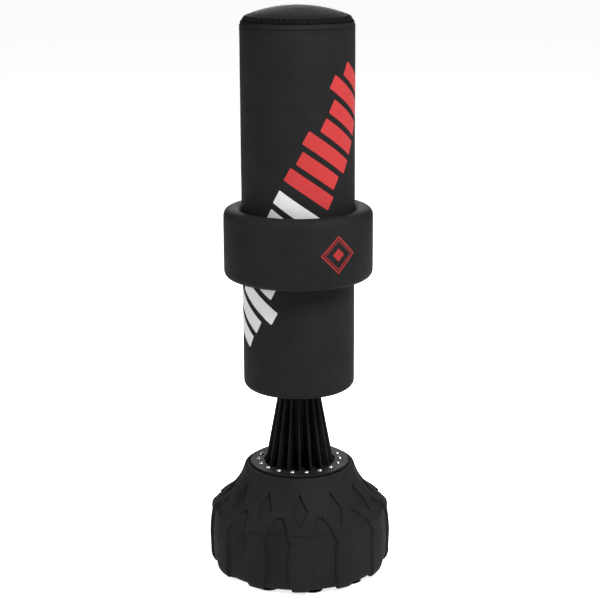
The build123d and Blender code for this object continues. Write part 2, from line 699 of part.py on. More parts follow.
# The pull hangs from the pin, clear of the leather: an eye round the pin and a flat tab.
TAB_LENGTH = 31
TAB_LEAN = 17.5
TAB_T = 2
with BuildPart() as zip_pull:
    with BuildSketch(radial_plane(SLIDER_AZIMUTH)):
        with Locations(Location((PULL_PIN[0], PULL_PIN[1], 0), (0, 0, TAB_LEAN))):
            Rectangle(TAB_T, TAB_LENGTH, align=(Align.CENTER, Align.MAX))
        with Locations(PULL_PIN):
            Circle(2.6)
            Circle(PIN_R + 0.1, mode=Mode.SUBTRACT)
    extrude(amount=3.6, both=True)
save(zip_pull, "zip_pull")

# ================================================================ sliding collar
COLLAR_MID = ((COLLAR_R + COLLAR_BORE_R) / 2, (COLLAR_BOTTOM_Z + COLLAR_TOP_Z) / 2)
COLLAR_W = COLLAR_R - COLLAR_BORE_R
COLLAR_H = COLLAR_TOP_Z - COLLAR_BOTTOM_Z

with BuildPart() as collar_cover:
    with BuildSketch(Plane.XZ):
        with Locations(COLLAR_MID):
            RectangleRounded(COLLAR_W, COLLAR_H, COLLAR_CORNER_R)
            offset(amount=-SKIN_T, mode=Mode.SUBTRACT)
    revolve(axis=Axis.Z)
save(collar_cover, "collar_cover")

FOAM_INSET = 2 * SKIN_T + 0.4
with BuildPart() as collar_foam:
    with BuildSketch(Plane.XZ):
        with Locations(COLLAR_MID):
            RectangleRounded(COLLAR_W - FOAM_INSET, COLLAR_H - FOAM_INSET, COLLAR_CORNER_R - FOAM_INSET / 2)
    revolve(axis=Axis.Z)
save(collar_foam, "collar_foam")
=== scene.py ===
import json
import math
from bisect import bisect_right
from itertools import accumulate

import bmesh
import bpy
from mathutils import Matrix, Vector, noise
from mathutils.bvhtree import BVHTree
from mathutils.geometry import delaunay_2d_cdt, intersect_point_line


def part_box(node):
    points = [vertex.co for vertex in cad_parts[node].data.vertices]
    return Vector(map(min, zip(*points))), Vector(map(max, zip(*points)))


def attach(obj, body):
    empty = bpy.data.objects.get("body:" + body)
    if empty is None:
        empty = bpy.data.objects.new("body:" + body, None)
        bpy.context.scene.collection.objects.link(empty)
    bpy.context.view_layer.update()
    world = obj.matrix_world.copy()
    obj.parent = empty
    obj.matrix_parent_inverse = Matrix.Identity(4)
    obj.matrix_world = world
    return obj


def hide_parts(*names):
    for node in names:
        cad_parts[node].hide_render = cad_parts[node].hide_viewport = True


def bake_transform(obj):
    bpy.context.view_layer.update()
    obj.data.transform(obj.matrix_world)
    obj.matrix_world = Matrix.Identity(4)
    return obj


# The looks of a free-standing punch bag, built round its CAD model. Its lengths are millimetres, which MM turns
# into metres. The floor, lights and camera are in metres. Azimuths are radians from the front (-Y) towards +X.

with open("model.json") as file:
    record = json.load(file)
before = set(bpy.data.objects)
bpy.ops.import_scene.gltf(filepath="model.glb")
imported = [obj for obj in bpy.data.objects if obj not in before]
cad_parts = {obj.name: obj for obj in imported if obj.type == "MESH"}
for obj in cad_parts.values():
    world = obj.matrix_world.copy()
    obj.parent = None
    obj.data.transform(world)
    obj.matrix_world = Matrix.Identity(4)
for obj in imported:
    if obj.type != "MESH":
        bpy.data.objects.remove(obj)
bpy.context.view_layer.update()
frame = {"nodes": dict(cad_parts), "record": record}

MM = 0.001
TURN = 2 * math.pi
RING_STEPS = 192


def span(node):
    """A turned CAD node's outer radius, lowest height and highest height."""
    low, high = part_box(node)
    return high.x / MM, low.z / MM, high.z / MM


# -------------------------------- sizes
BAG_R, BAG_LOW_Z, SLEEVE_TOP_Z = span("cover_sleeve")
TUBE_R, _, CORE_TOP_Z = span("tube_top_cap")
PLATE_Z = span("bag_plate")[1]
APEX_Z = span("top_panel")[2]
SHOULDER_LOW_Z = span("shoulder_band")[1]
COLLAR_R, COLLAR_LOW_Z, COLLAR_HIGH_Z = span("collar_cover")
FOOT_R, FOOT_LOW_Z, BOOT_TOP_Z = span("neck_boot")
BLOCK_BOTTOM_Z = span("base_shell")[1]
UNDERSIDE_Z = span("cup_inserts")[1]
SEAM_GAP = 0.1
HEM_R = 144.2
HEM_CORNER_R = 20.8
COVER_INNER_R = 150.2
BAG_HOLE_R = 60.7
PANEL_EDGE = (148, 1661.6)
ZIP_LOW = (158.4, 1646.2)
ZIP_HIGH = (148.2, 1661.4)
TAPE_SPANS = ((0.03, 0.48), (0.52, 0.97))
TAPE_T = 1.2
TOOTH_COUNT = 52
TOOTH_SPANS = ((0.14, 0.64), (0.36, 0.86))
TOOTH_W = 3.4
TOOTH_H = 2
COLLAR_BORE_R = 166.3
COLLAR_CORNER_R = 22
CUT_Z = 450
BOOT_BORE_R = 40.5
BOOT_SLEEVE_R = 47
FOOT_TOP_Z = 327
FIN_COUNT = 18
FIN_HALF_T = 3.25
SPRING_R = 30
WIRE_R = 4.5
SPRING_TURNS = 11
TURN_STEPS = 28
RIM_EDGE = (154.6, 326.8)
DECK_Z = 316
UNDERSIDE_R = 244
TREAD_DEPTH = 8
BLOCK_COUNT = 12
FILLER_Y = 212
FILLER_DECK_Z = 282
FILLER_TOP_Z = 294


# -------------------------------- shape helpers
def polar(azimuth, radius, height, centre=(0, 0)):
    """A point at an azimuth, radius and height about an upright line."""
    return Vector((centre[0] + radius * math.sin(azimuth), centre[1] - radius * math.cos(azimuth), height))


def between(low, high, share):
    return low + (high - low) * share


def smooth(low, high, value):
    """0 below low, 1 above high, and an even ease between them."""
    share = min(1, max(0, (value - low) / (high - low)))
    return share * share * (3 - 2 * share)


def rounded(corners, closed=True, steps=4):
    """An outline from (x, y, radius) corners, each turned into an arc of that radius."""
    outline = []
    for index, (x, y, radius) in enumerate(corners):
        here = Vector((x, y))
        is_end = not closed and index in (0, len(corners) - 1)
        if radius == 0 or is_end:
            outline.append(here)
            continue
        before = (Vector(corners[index - 1][:2]) - here).normalized()
        after = (Vector(corners[(index + 1) % len(corners)][:2]) - here).normalized()
        half = before.angle(after) / 2
        centre = here + (before + after).normalized() * radius / math.sin(half)
        start = here + before * radius / math.tan(half) - centre
        end = here + after * radius / math.tan(half) - centre
        sweep = start.angle(end)
        for step in range(steps + 1):
            share = step / steps
            first = math.sin((1 - share) * sweep) / math.sin(sweep)
            second = math.sin(share * sweep) / math.sin(sweep)
            outline.append(centre + start * first + end * second)
    return outline


def runs(outline, closed=True):
    """Each run of an outline, as its start and its end."""
    return list(zip(outline, outline[1:] + outline[: 1 if closed else 0]))


def divided(outline, longest, closed=True):
    """The outline with no run longer than a length."""
    result = []
    for start, end in runs([Vector(point) for point in outline], closed):
        pieces = max(1, math.ceil((end - start).length / longest))
        result.extend(start.lerp(end, step / pieces) for step in range(pieces))
    if not closed:
        result.append(Vector(outline[-1]))
    return result


def arc_through(start, middle, end, steps):
    """Points along the arc through three points, without its first."""
    (ax, ay), (bx, by), (cx, cy) = start, middle, end
    double = 2 * (ax * (by - cy) + bx * (cy - ay) + cx * (ay - by))
    a, b, c = ax * ax + ay * ay, bx * bx + by * by, cx * cx + cy * cy
    centre_x = (a * (by - cy) + b * (cy - ay) + c * (ay - by)) / double
    centre_y = (a * (cx - bx) + b * (ax - cx) + c * (bx - ax)) / double
    centre = Vector((centre_x, centre_y))
    radius = (Vector(start) - centre).length
    first = math.atan2(ay - centre.y, ax - centre.x)
    last = math.atan2(cy - centre.y, cx - centre.x)
    sweep = (last - first + math.pi) % TURN - math.pi
    turns = [first + sweep * step / steps for step in range(1, steps + 1)]
    return [centre + radius * Vector((math.cos(turn), math.sin(turn))) for turn in turns]


def even_azimuths(count, offset=0.0):
    return [offset + TURN * index / count for index in range(count)]


FINE_RING = even_azimuths(RING_STEPS * 2)


class Build:
    """Points and faces gathered for one piece."""

    def __init__(self):
        self.points = []
        self.faces = []

    def add(self, points, faces):
        start = len(self.points)
        self.points.extend(points)
        self.faces.extend(tuple(index + start for index in face) for face in faces)

    def join(self, other):
        self.add(other.points, other.faces)

    def rings(self, rings, caps=False):
        """A skin over rings of points, each ring closed on itself."""
        count = len(rings[0])
        points = [point for ring in rings for point in ring]
        faces = []
        for row in range(len(rings) - 1):
            for index in range(count):
                after = (index + 1) % count
                low, high = row * count, (row + 1) * count
                faces.append((low + index, low + after, high + after, high + index))
        if caps:
            last = (len(rings) - 1) * count
            faces.append(tuple(range(count)))
            faces.append(tuple(range(last, last + count)))
        self.add(points, faces)

    def make(self, name, slot, body=None, sharp_deg=40, material=None):
        """The finished piece: welded, its normals outwards, smooth but for its sharp edges.

        Its material is its slot's, unless another is given.
        """
        mesh = bpy.data.meshes.new(name)
        mesh.from_pydata([Vector(point) * MM for point in self.points], [], self.faces)
        work = bmesh.new()
        work.from_mesh(mesh)
        bmesh.ops.remove_doubles(work, verts=work.verts, dist=1e-6)
        bmesh.ops.dissolve_degenerate(work, edges=work.edges, dist=1e-7)
        bmesh.ops.recalc_face_normals(work, faces=work.faces)
        work.to_mesh(mesh)
        work.free()
        mesh.materials.append(material or FINISHES[slot])
        piece = linked(name, mesh)
        shade(piece, sharp_deg)
        if body:
            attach(piece, body)
        return piece


def linked(name, data):
    """A new object in the scene."""
    made = bpy.data.objects.new(name, data)
    bpy.context.scene.collection.objects.link(made)
    return made


def shade(piece, sharp_deg):
    """Smooths a piece's faces, apart from edges sharper than an angle."""
    mesh = piece.data
    mesh.polygons.foreach_set("use_smooth", [True] * len(mesh.polygons))
    mesh.set_sharp_from_angle(angle=math.radians(sharp_deg))


def lathe(profile, azimuths, closed=True, swell=None, centre=(0, 0)):
    """A Build of a turned form, from an outline of (radius, height) points."""
    build = Build()
    rows = len(profile)
    for azimuth in azimuths:
        for radius, height in profile:
            if swell:
                radius, height = swell(azimuth, radius, height)
            build.points.append(polar(azimuth, radius, height, centre))
    for index in range(len(azimuths)):
        after = (index + 1) % len(azimuths)
        for row in range(rows if closed else rows - 1):
            above = (row + 1) % rows
            near, far = index * rows, after * rows
            build.faces.append((near + row, far + row, far + above, near + above))
    return build


def plate(outline, step, place, low, high):
    """A Build of a thin plate: an outline filled on a grid, placed by place(x, y, lift), between two lifts."""
    edge = divided(outline, step)
    count = len(edge)
    low_x, high_x = min(p.x for p in edge), max(p.x for p in edge)
    low_y, high_y = min(p.y for p in edge), max(p.y for p in edge)
    inner = []
    for column in range(1, int((high_x - low_x) / step) + 1):
        for row in range(1, int((high_y - low_y) / step) + 1):
            point = Vector((low_x + column * step, low_y + row * step))
            if inside(point, edge) and nearest(point, edge) > step * 0.45:
                inner.append(point)
    found = delaunay_2d_cdt(edge + inner, [], [list(range(count))], 1, 1e-6)
    flat, triangles, origins = found[0], found[2], found[3]
    total = len(flat)
    rim = {}
    for index, sources in enumerate(origins):
        for source in sources:
            rim[source] = index
    build = Build()
    build.points = [place(p.x, p.y, high) for p in flat] + [place(p.x, p.y, low) for p in flat]
    build.faces = [tuple(face) for face in triangles]
    build.faces += [tuple(total + index for index in reversed(face)) for face in triangles]
    for index in range(count):
        start, end = rim[index], rim[(index + 1) % count]
        build.faces.append((start, end, end + total, start + total))
    return build


def inside(point, outline):
    """Whether a point is inside a closed outline."""
    crossings = 0
    for start, end in runs(outline):
        if (start.y > point.y) != (end.y > point.y):
            x = start.x + (point.y - start.y) / (end.y - start.y) * (end.x - start.x)
            crossings += x > point.x
    return crossings % 2 == 1


def nearest(point, outline, closed=True):
    """The distance from a point to an outline."""
    distances = []
    for start, end in runs(outline, closed):
        foot, share = intersect_point_line(point, start, end)
        nearest_on_run = start if share < 0 else end if share > 1 else foot
        distances.append((point - Vector(nearest_on_run[:2])).length)
    return min(distances)


def moved_sideways(outline, amount, closed):
    """An outline moved towards its left by an amount, its corners mitred."""
    count = len(outline)
    result = []
    for index, here in enumerate(outline):
        sides = []
        if closed or index > 0:
            sides.append(here - outline[index - 1])
        if closed or index < count - 1:
            sides.append(outline[(index + 1) % count] - here)
        normals = [Vector((-side.y, side.x)).normalized() for side in sides]
        if len(normals) == 1:
            result.append(here + normals[0] * amount)
        else:
            result.append(here + (normals[0] + normals[1]) * amount / (1 + normals[0].dot(normals[1])))
    return result


# -------------------------------- materials
def finish(name, color, roughness, **sockets):
    """A material with one Principled shader. Other sockets are named with underscores for spaces."""
    made = bpy.data.materials.new(name)
    made.use_nodes = True
    shader = made.node_tree.nodes["Principled BSDF"]
    shader.inputs["Base Color"].default_value = (*color, 1)
    shader.inputs["Roughness"].default_value = roughness
    for socket, value in sockets.items():
        shader.inputs[socket.replace("_", " ")].default_value = value
    return made


def texture(made, kind, scale, stretch=(1, 1, 1), **sockets):
    """A texture's value on the piece's own coordinates, in metres, stretched along its axes."""
    tree = made.node_tree
    source = tree.nodes.new("ShaderNodeTexCoord")
    mapping = tree.nodes.new("ShaderNodeMapping")
    mapping.inputs["Scale"].default_value = stretch
    pattern = tree.nodes.new("ShaderNodeTex" + kind)
    pattern.inputs["Scale"].default_value = scale
    for socket, value in sockets.items():
        pattern.inputs[socket].default_value = value
    tree.links.new(source.outputs["Object"], mapping.inputs["Vector"])
    tree.links.new(mapping.outputs["Vector"], pattern.inputs["Vector"])
    return pattern.outputs["Distance" if kind == "Voronoi" else "Fac"]


def bump(made, height, strength, distance_mm):
    """Adds a bump to the material, over any bump it has already."""
    tree = made.node_tree
    shader = tree.nodes["Principled BSDF"]
    node = tree.nodes.new("ShaderNodeBump")
    node.inputs["Strength"].default_value = strength
    node.inputs["Distance"].default_value = distance_mm * MM
    tree.links.new(height, node.inputs["Height"])
    if shader.inputs["Normal"].is_linked:
        tree.links.new(shader.inputs["Normal"].links[0].from_socket, node.inputs["Normal"])
    tree.links.new(node.outputs["Normal"], shader.inputs["Normal"])


def tint(color, amount):
    """A colour made lighter or darker."""
    return tuple(channel * amount for channel in color)


def vary_color(made, factor, color, low, high, start=0.3, end=0.7):
    """Blends the base colour between two tints of a colour by a texture."""
    tree = made.node_tree
    ramp = tree.nodes.new("ShaderNodeValToRGB")
    for element, position, amount in zip(ramp.color_ramp.elements, (start, end), (low, high)):
        element.position = position
        element.color = (*tint(color, amount), 1)
    tree.links.new(factor, ramp.inputs["Fac"])
    tree.links.new(ramp.outputs["Color"], tree.nodes["Principled BSDF"].inputs["Base Color"])


def vary_roughness(made, factor, low, high):
    """Blends the roughness between two values by a texture."""
    tree = made.node_tree
    ramp = tree.nodes.new("ShaderNodeMapRange")
    for socket, value in (("From Min", 0.3), ("From Max", 0.7), ("To Min", low), ("To Max", high)):
        ramp.inputs[socket].default_value = value
    tree.links.new(factor, ramp.inputs["Value"])
    tree.links.new(ramp.outputs["Result"], tree.nodes["Principled BSDF"].inputs["Roughness"])


def leather(name, color, roughness, contrast=0.2):
    """Coated leather: a pebbled grain, pores, soft creases, and paler, smoother patches where it is rubbed."""
    made = finish(name, color, roughness, Specular_IOR_Level=0.04)
    wear = texture(made, "Noise", 6.5, Detail=6, Roughness=0.62)
    vary_color(made, wear, color, 1 - contrast, 1 + contrast)
    vary_roughness(made, wear, roughness + 0.05, roughness - 0.05)
    creases = texture(made, "Noise", 38, (1, 1, 0.45), Detail=3, Roughness=0.5)
    bump(made, creases, 0.18, 0.6)
    pebbles = texture(made, "Voronoi", 520, Randomness=0.9)
    bump(made, pebbles, 0.22, 0.25)
    pores = texture(made, "Noise", 1700, Detail=2)
    bump(made, pores, 0.12, 0.08)
    return made


def moulded(name, color, roughness, grain_mm=1.1, grain=0.12, **sockets):
    """Moulded plastic or rubber: a fine spark-eroded grain, faint flow marks and uneven gloss."""
    made = finish(name, color, roughness, **sockets)
    flow = texture(made, "Noise", 7, (1, 1, 0.5), Detail=5, Roughness=0.6)
    vary_color(made, flow, color, 0.8, 1.2)
    scuffs = texture(made, "Noise", 55, Detail=7, Roughness=0.7)
    vary_roughness(made, scuffs, roughness - 0.06, roughness + 0.08)
    bump(made, texture(made, "Noise", 1000 / grain_mm, Detail=2), grain, 0.12)
    return made


def powder_coated(name, color, roughness):
    """Powder-coated steel: an orange-peel skin with a few rubbed spots."""
    made = finish(name, color, roughness, Specular_IOR_Level=0.05)
    peel = texture(made, "Voronoi", 620, Randomness=1)
    bump(made, peel, 0.14, 0.15)
    rubs = texture(made, "Noise", 24, Detail=8, Roughness=0.7)
    vary_color(made, rubs, color, 0.8, 1.5, 0.45, 0.75)
    vary_roughness(made, rubs, roughness + 0.06, roughness - 0.08)
    return made


def machined(name, color, roughness, stretch=(1, 1, 18)):
    """Bare or plated metal with fine tool lines and dull patches."""
    made = finish(name, color, roughness, Metallic=1)
    lines = texture(made, "Noise", 160, stretch, Detail=4)
    bump(made, lines, 0.10, 0.06)
    patches = texture(made, "Noise", 45, Detail=6, Roughness=0.65)
    vary_color(made, patches, color, 0.78, 1)
    vary_roughness(made, patches, roughness + 0.12, roughness - 0.04)
    return made


def foam_rubber(name, color):
    """Open-cell foam: a pitted, matte skin, with painted shade that darkens its pits."""
    made = finish(name, color, 0.95)
    cells = texture(made, "Voronoi", 750, Randomness=1)
    bump(made, cells, 0.7, 0.5)
    # Painted shade: the colour darkens towards the bottom of each pit of the bump, where shade would fall.
    vary_color(made, cells, color, 0.7, 1.1, 0, 0.6)
    return made


def woven(name, color, threads_round, thread_mm):
    """Woven tape that runs round the axis: threads round it and across it, over and under each other, with
    painted shade in the weave's dips and painted light on its raised crossings.
    """
    made = finish(name, color, 0.85, Specular_IOR_Level=0.03)
    tree = made.node_tree

    def math_node(operation, *values):
        node = tree.nodes.new("ShaderNodeMath")
        node.operation = operation
        for socket, value in zip(node.inputs, values):
            if isinstance(value, float):
                socket.default_value = value
            else:
                tree.links.new(value, socket)
        return node.outputs["Value"]

    source = tree.nodes.new("ShaderNodeTexCoord")
    axes = tree.nodes.new("ShaderNodeSeparateXYZ")
    tree.links.new(source.outputs["Object"], axes.inputs["Vector"])
    turn = math_node("ARCTAN2", axes.outputs["Y"], axes.outputs["X"])
    across = math_node("SINE", math_node("MULTIPLY", turn, threads_round / 2))
    along = math_node("SINE", math_node("MULTIPLY", axes.outputs["Z"], math.pi / (thread_mm * MM)))
    weave = math_node("MULTIPLY_ADD", math_node("MULTIPLY", across, along), 0.5)
    bump(made, weave, 0.5, 0.3)
    # Painted shade and light: the colour is darker in the weave's dips and paler on its raised crossings,
    # following the bump.
    vary_color(made, weave, color, 0.6, 1.35, 0.1, 0.5)
    return made


BLACK_LEATHER = (0.006864, 0.006864, 0.007072)
RED_INK = (0.236, 0.0205, 0.0208)
WHITE_INK = (0.345, 0.348, 0.352)

FINISHES = {
    "base_plastic": moulded("moulded_tank_black", (0.008, 0.008, 0.0082), 0.74, Specular_IOR_Level=0.03),
    "cap_plastic": moulded("moulded_cap_black", (0.009, 0.009, 0.0092), 0.5, Specular_IOR_Level=0.1),
    "clamp_black": powder_coated("powder_coat_black", (0.0068, 0.0068, 0.007), 0.6),
    "screw_steel": machined("screw_steel", (0.4, 0.4, 0.41), 0.36),
    "insert_brass": machined("insert_brass", (0.78, 0.57, 0.27), 0.32),
    "plate_steel": machined("zinc_plated_steel", (0.5, 0.51, 0.52), 0.36, stretch=(18, 1, 1)),
    "spring_steel": machined("spring_steel", (0.3, 0.3, 0.31), 0.34),
    "boot_rubber": moulded("boot_rubber", (0.004, 0.004, 0.0041), 0.6, 0.8, 0.1, Specular_IOR_Level=0.05),
    "cup_rubber": moulded("cup_rubber", (0.01, 0.01, 0.01), 0.22, 0.6, 0.05, Coat_Weight=0.15),
    "seal_rubber": moulded("seal_rubber", (0.03, 0.012, 0.01), 0.6),
    "tube_plastic": moulded("extruded_tube_grey", (0.16, 0.165, 0.17), 0.4, grain=0.05),
    "socket_plastic": moulded("glass_filled_nylon", (0.03, 0.03, 0.032), 0.55),
    "foam": foam_rubber("foam_grey", (0.18, 0.18, 0.19)),
    "cover_leather": leather("bag_leather_black", BLACK_LEATHER, 0.72),
    "collar_leather": leather("collar_leather_black", BLACK_LEATHER, 0.72),
    "zip_tape": woven("zip_tape_black", (0.002, 0.002, 0.0022), 1500.0, 0.9),
    "zip_teeth": moulded("zip_teeth_black", (0.0024, 0.0024, 0.0025), 0.5, 0.5, 0.04, Specular_IOR_Level=0.08),
    "zip_metal": machined("zip_gunmetal", (0.16, 0.16, 0.165), 0.28),
}
RED_PRINT = leather("print_red", RED_INK, 0.5, 0.06)
WHITE_PRINT = leather("print_white", WHITE_INK, 0.5, 0.05)
DARK_RED_PRINT = leather("print_dark_red", tint(RED_INK, 0.72), 0.5, 0.06)
THREAD = woven("thread_black", (0.003, 0.003, 0.0032), 900.0, 0.6)

NODE_SLOTS = {part["node"]: part["material_slot"] for part in frame["record"]["subparts"]}
for node_name, node_object in frame["nodes"].items():
    for material_slot in node_object.material_slots:
        material_slot.material = FINISHES[NODE_SLOTS[node_name]]


# -------------------------------- tank
# The tank's side, from the outer edge of its rim down the shoulder, over the lip and down the wall, then in
# under the rim's foot and up into the recess of the underside.
LIP = ((258.7, 199.6), (267.4, 192), (267.5, 190.8), (265, 188.8))
WALL_TOP = (265.2, 186.6)
FOOT_BEVEL = 1.2
RECESS_BEVEL = 2
RECESS_EDGE = (UNDERSIDE_R, UNDERSIDE_Z - RECESS_BEVEL)
SIDE = [RIM_EDGE]
SIDE += arc_through(RIM_EDGE, (162.5, 323.6), (167, DECK_Z), 6)
SIDE += arc_through((167, DECK_Z), (197, 256), (250, 208), 24)
SIDE += [*LIP, WALL_TOP]
SIDE += arc_through(WALL_TOP, (271.6, 145), (274, 104), 14)
SIDE.append((272.5, 52))
SIDE += arc_through((272.5, 52), (268.5, 27), (258.6, BLOCK_BOTTOM_Z + 0.7), 12)
SIDE += [(257.4, BLOCK_BOTTOM_Z), (UNDERSIDE_R + FOOT_BEVEL, BLOCK_BOTTOM_Z)]
SIDE += [(UNDERSIDE_R, BLOCK_BOTTOM_Z + FOOT_BEVEL), RECESS_EDGE]
SIDE = divided(SIDE, 1.5, closed=False)
LENGTHS = list(accumulate(((end - start).length for start, end in runs(SIDE, closed=False)), initial=0.0))
SIDE_LENGTH = LENGTHS[-1]
UNROLL_R = 250
SECTOR_HALF = UNROLL_R * math.pi / BLOCK_COUNT


def side_at(length):
    """The point on the tank's side at a length down from the rim."""
    low = min(max(bisect_right(LENGTHS, length) - 1, 0), len(SIDE) - 2)
    share = (length - LENGTHS[low]) / (LENGTHS[low + 1] - LENGTHS[low])
    return SIDE[low].lerp(SIDE[low + 1], share)


def length_at(height):
    """The length down the side at which a height is reached."""
    return next(length for length, point in zip(LENGTHS, SIDE) if point.y <= height)


# A groove's floor follows the wall down to WALL_LENGTH, then runs by its foot to its end in the recess.
NOTCH_Z = BLOCK_BOTTOM_Z + 4
GROOVE_FOOT = Vector((249.5, NOTCH_Z))
NOTCH_END = Vector((UNDERSIDE_R, NOTCH_Z))
WALL_LENGTH = length_at(BLOCK_BOTTOM_Z + 3.5)
END_LENGTH = SIDE_LENGTH - (RECESS_EDGE[1] - NOTCH_Z)
NORMAL_REACH = 2.5


def floor_at(length):
    """The point of a cut's floor under a length of the side."""
    if length >= END_LENGTH:
        return side_at(length)
    above = min(length, WALL_LENGTH)
    along = side_at(above + NORMAL_REACH) - side_at(max(0, above - NORMAL_REACH))
    sunk = side_at(above) + Vector((along.y, -along.x)).normalized() * TREAD_DEPTH
    share = 2 * (length - above) / (END_LENGTH - above)
    if share < 1:
        return sunk.lerp(GROOVE_FOOT, share)
    return GROOVE_FOOT.lerp(NOTCH_END, share - 1)


def tank_point(across, length, depth):
    """A point of the tank from its unrolled place, at a depth under the surface."""
    place = side_at(length).lerp(floor_at(length), depth / TREAD_DEPTH)
    return across / UNROLL_R, place.x, place.y


def unrolled(sideways, height, middle):
    """The unrolled place of a point given sideways of a facing direction and by its height."""
    length = length_at(height)
    return Vector((middle + UNROLL_R * math.asin(sideways / side_at(length).x), length))


# Half a groove's outline, from its top down, and a lozenge's, as (sideways, height).
GROOVE_SIDE = ((9.5, 229), (30, 203), (35, 181), (45.5, 167), (38, 132), (38, 66), (44, 34))
GROOVE_SIDE += ((44, 24), (44, 17), (44, 13))
LOZENGE = ((0, 288), (-24.5, 244), (0, 209), (24.5, 244))
# Rings round each cut, as (how far inside its outline, how deep), from the tread's face to the cut's floor.
CUT_RINGS = ((-1.3, 0), (-0.5, 0.22), (0.3, 1.2), (1.6, 6.8), (2.4, 7.75), (3.5, TREAD_DEPTH))
MESH_STEP = 7
ROW_BEND = math.radians(9)
SECTOR_COLUMNS = 16
# How far the mesh's own points stay from a cut's outline, inside a sector and on its borders.
CUT_CLEARANCE = 6
BORDER_CLEARANCE = 3.3


def groove_outline(middle, side):
    """Half a groove's outline in unrolled places, from its centre line round to its centre line."""
    outline = [unrolled(side * x, z, middle) for x, z in GROOVE_SIDE]
    end_across = middle + side * UNROLL_R * math.asin(GROOVE_SIDE[-1][0] / UNDERSIDE_R)
    outline.append(Vector((end_across, END_LENGTH)))
    outline.insert(0, Vector((middle, outline[0].y)))
    outline.append(Vector((middle, END_LENGTH)))
    return outline


def row_lengths():
    """Lengths down the side for the mesh's rows: even, but closer together where the side bends sharply."""
    rows = [0.0]
    heading = SIDE[1] - SIDE[0]
    for index in range(1, len(SIDE) - 1):
        step = SIDE[index + 1] - SIDE[index]
        if LENGTHS[index] - rows[-1] > MESH_STEP or heading.angle(step) > ROW_BEND:
            rows.append(LENGTHS[index])
            heading = step
    rows.append(SIDE_LENGTH)
    return rows


def sector(with_lozenge):
    """One block of the tread between the middles of two grooves, as unrolled points, depths and triangles."""
    shapes = [(groove_outline(SECTOR_HALF, -1), False, -1), (groove_outline(-SECTOR_HALF, 1), False, 1)]
    if with_lozenge:
        shapes.append(([unrolled(x, z, 0) for x, z in LOZENGE], True, -1))
    points, depths, edges = [], [], []
    regions = []
    for outline, closed, side in shapes:
        past_border = outline[0].x * 1.01
        ends = [] if closed else [Vector((past_border, outline[-1].y)), Vector((past_border, outline[0].y))]
        regions.append(outline + ends)
        pieces = [max(1, math.ceil((end - start).length / MESH_STEP)) for start, end in runs(outline, closed)]
        for amount, depth in CUT_RINGS:
            ring = moved_sideways(outline, amount * side, closed)
            first = len(points)
            for index, count in enumerate(pieces):
                start, end = ring[index], ring[(index + 1) % len(ring)]
                points.extend(start.lerp(end, step / count) for step in range(count))
            if not closed:
                points.append(ring[-1])
            depths.extend([depth] * (len(points) - first))
            last = len(points) - 1
            edges.extend((index, index + 1) for index in range(first, last))
            if closed:
                edges.append((last, first))
    for row_length in row_lengths():
        for column in range(SECTOR_COLUMNS + 1):
            place = Vector((between(-SECTOR_HALF, SECTOR_HALF, column / SECTOR_COLUMNS), row_length))
            clear = BORDER_CLEARANCE if column in (0, SECTOR_COLUMNS) else CUT_CLEARANCE
            is_end = row_length in (0, SIDE_LENGTH)
            if is_end or all(nearest(place, outline, closed) > clear for outline, closed, _ in shapes):
                points.append(place)
                depths.append(TREAD_DEPTH if any(inside(place, region) for region in regions) else 0)
    found = delaunay_2d_cdt(points, edges, [], 0, 1e-5)
    flat, triangles, origins = found[0], found[2], found[3]
    flat_depths = [depths[sources[0]] if sources else 0 for sources in origins]
    return flat, flat_depths, triangles


def add_sector(build, made, turn):
    """Adds a block of the tread to the tank, turned to its place."""
    flat, flat_depths, triangles = made
    placed = []
    for point, depth in zip(flat, flat_depths):
        azimuth, radius, height = tank_point(point.x, point.y, depth)
        placed.append(polar(azimuth + turn, radius, height))
    build.add(placed, triangles)


tank_build = Build()
PLAIN_SECTOR = sector(with_lozenge=False)
MARKED_SECTOR = sector(with_lozenge=True)
for block in range(BLOCK_COUNT):
    chosen = PLAIN_SECTOR if block == BLOCK_COUNT // 2 else MARKED_SECTOR
    add_sector(tank_build, chosen, TURN * block / BLOCK_COUNT)
deck = [RIM_EDGE, (153.4, 326.4), (152.8, 325.4), (152.8, 321), (147, 321), (146.5, 320.5), (146.5, DECK_Z)]
deck += [(80, DECK_Z), (0, DECK_Z)]
underside = [RECESS_EDGE, (UNDERSIDE_R - RECESS_BEVEL, UNDERSIDE_Z), (120, UNDERSIDE_Z), (0, UNDERSIDE_Z)]
for profile in (deck, underside):
    tank_build.join(lathe(profile, even_azimuths(RING_STEPS, -math.pi / BLOCK_COUNT), closed=False))
TANK_SHARP_DEG = 52
tank = tank_build.make("tank_shell", "base_plastic", sharp_deg=TANK_SHARP_DEG)


def combine(target, tool, operation):
    """Adds a tool's form to a piece or cuts it away, and removes the tool."""
    cut = target.modifiers.new("cut", "BOOLEAN")
    cut.operation = operation
    cut.solver = "EXACT"
    cut.object = tool
    bpy.context.view_layer.update()
    result = bpy.data.meshes.new_from_object(target.evaluated_get(bpy.context.evaluated_depsgraph_get()))
    target.modifiers.clear()
    old = target.data
    target.data = result
    bpy.data.meshes.remove(old)
    bpy.data.objects.remove(tool)


pocket_floor = FILLER_DECK_Z - 0.2
pocket_corners = [(0, pocket_floor, 0), (38, pocket_floor, 1.5), (38, 350, 0), (0, 350, 0)]
boss_corners = [(0, 206, 0), (34, 206, 0), (34, FILLER_DECK_Z, 2), (24, FILLER_DECK_Z, 0.8)]
boss_corners += [(24, FILLER_TOP_Z, 0.6), (20, FILLER_TOP_Z, 0.6), (20, 226, 0), (0, 226, 0)]
for corners, operation in ((pocket_corners, "DIFFERENCE"), (boss_corners, "UNION")):
    tool = lathe(rounded(corners, closed=False), even_azimuths(72), closed=False, centre=(0, FILLER_Y))
    combine(tank, tool.make("tool", "base_plastic"), operation)
shade(tank, TANK_SHARP_DEG)
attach(tank, "base")
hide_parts("base_shell")


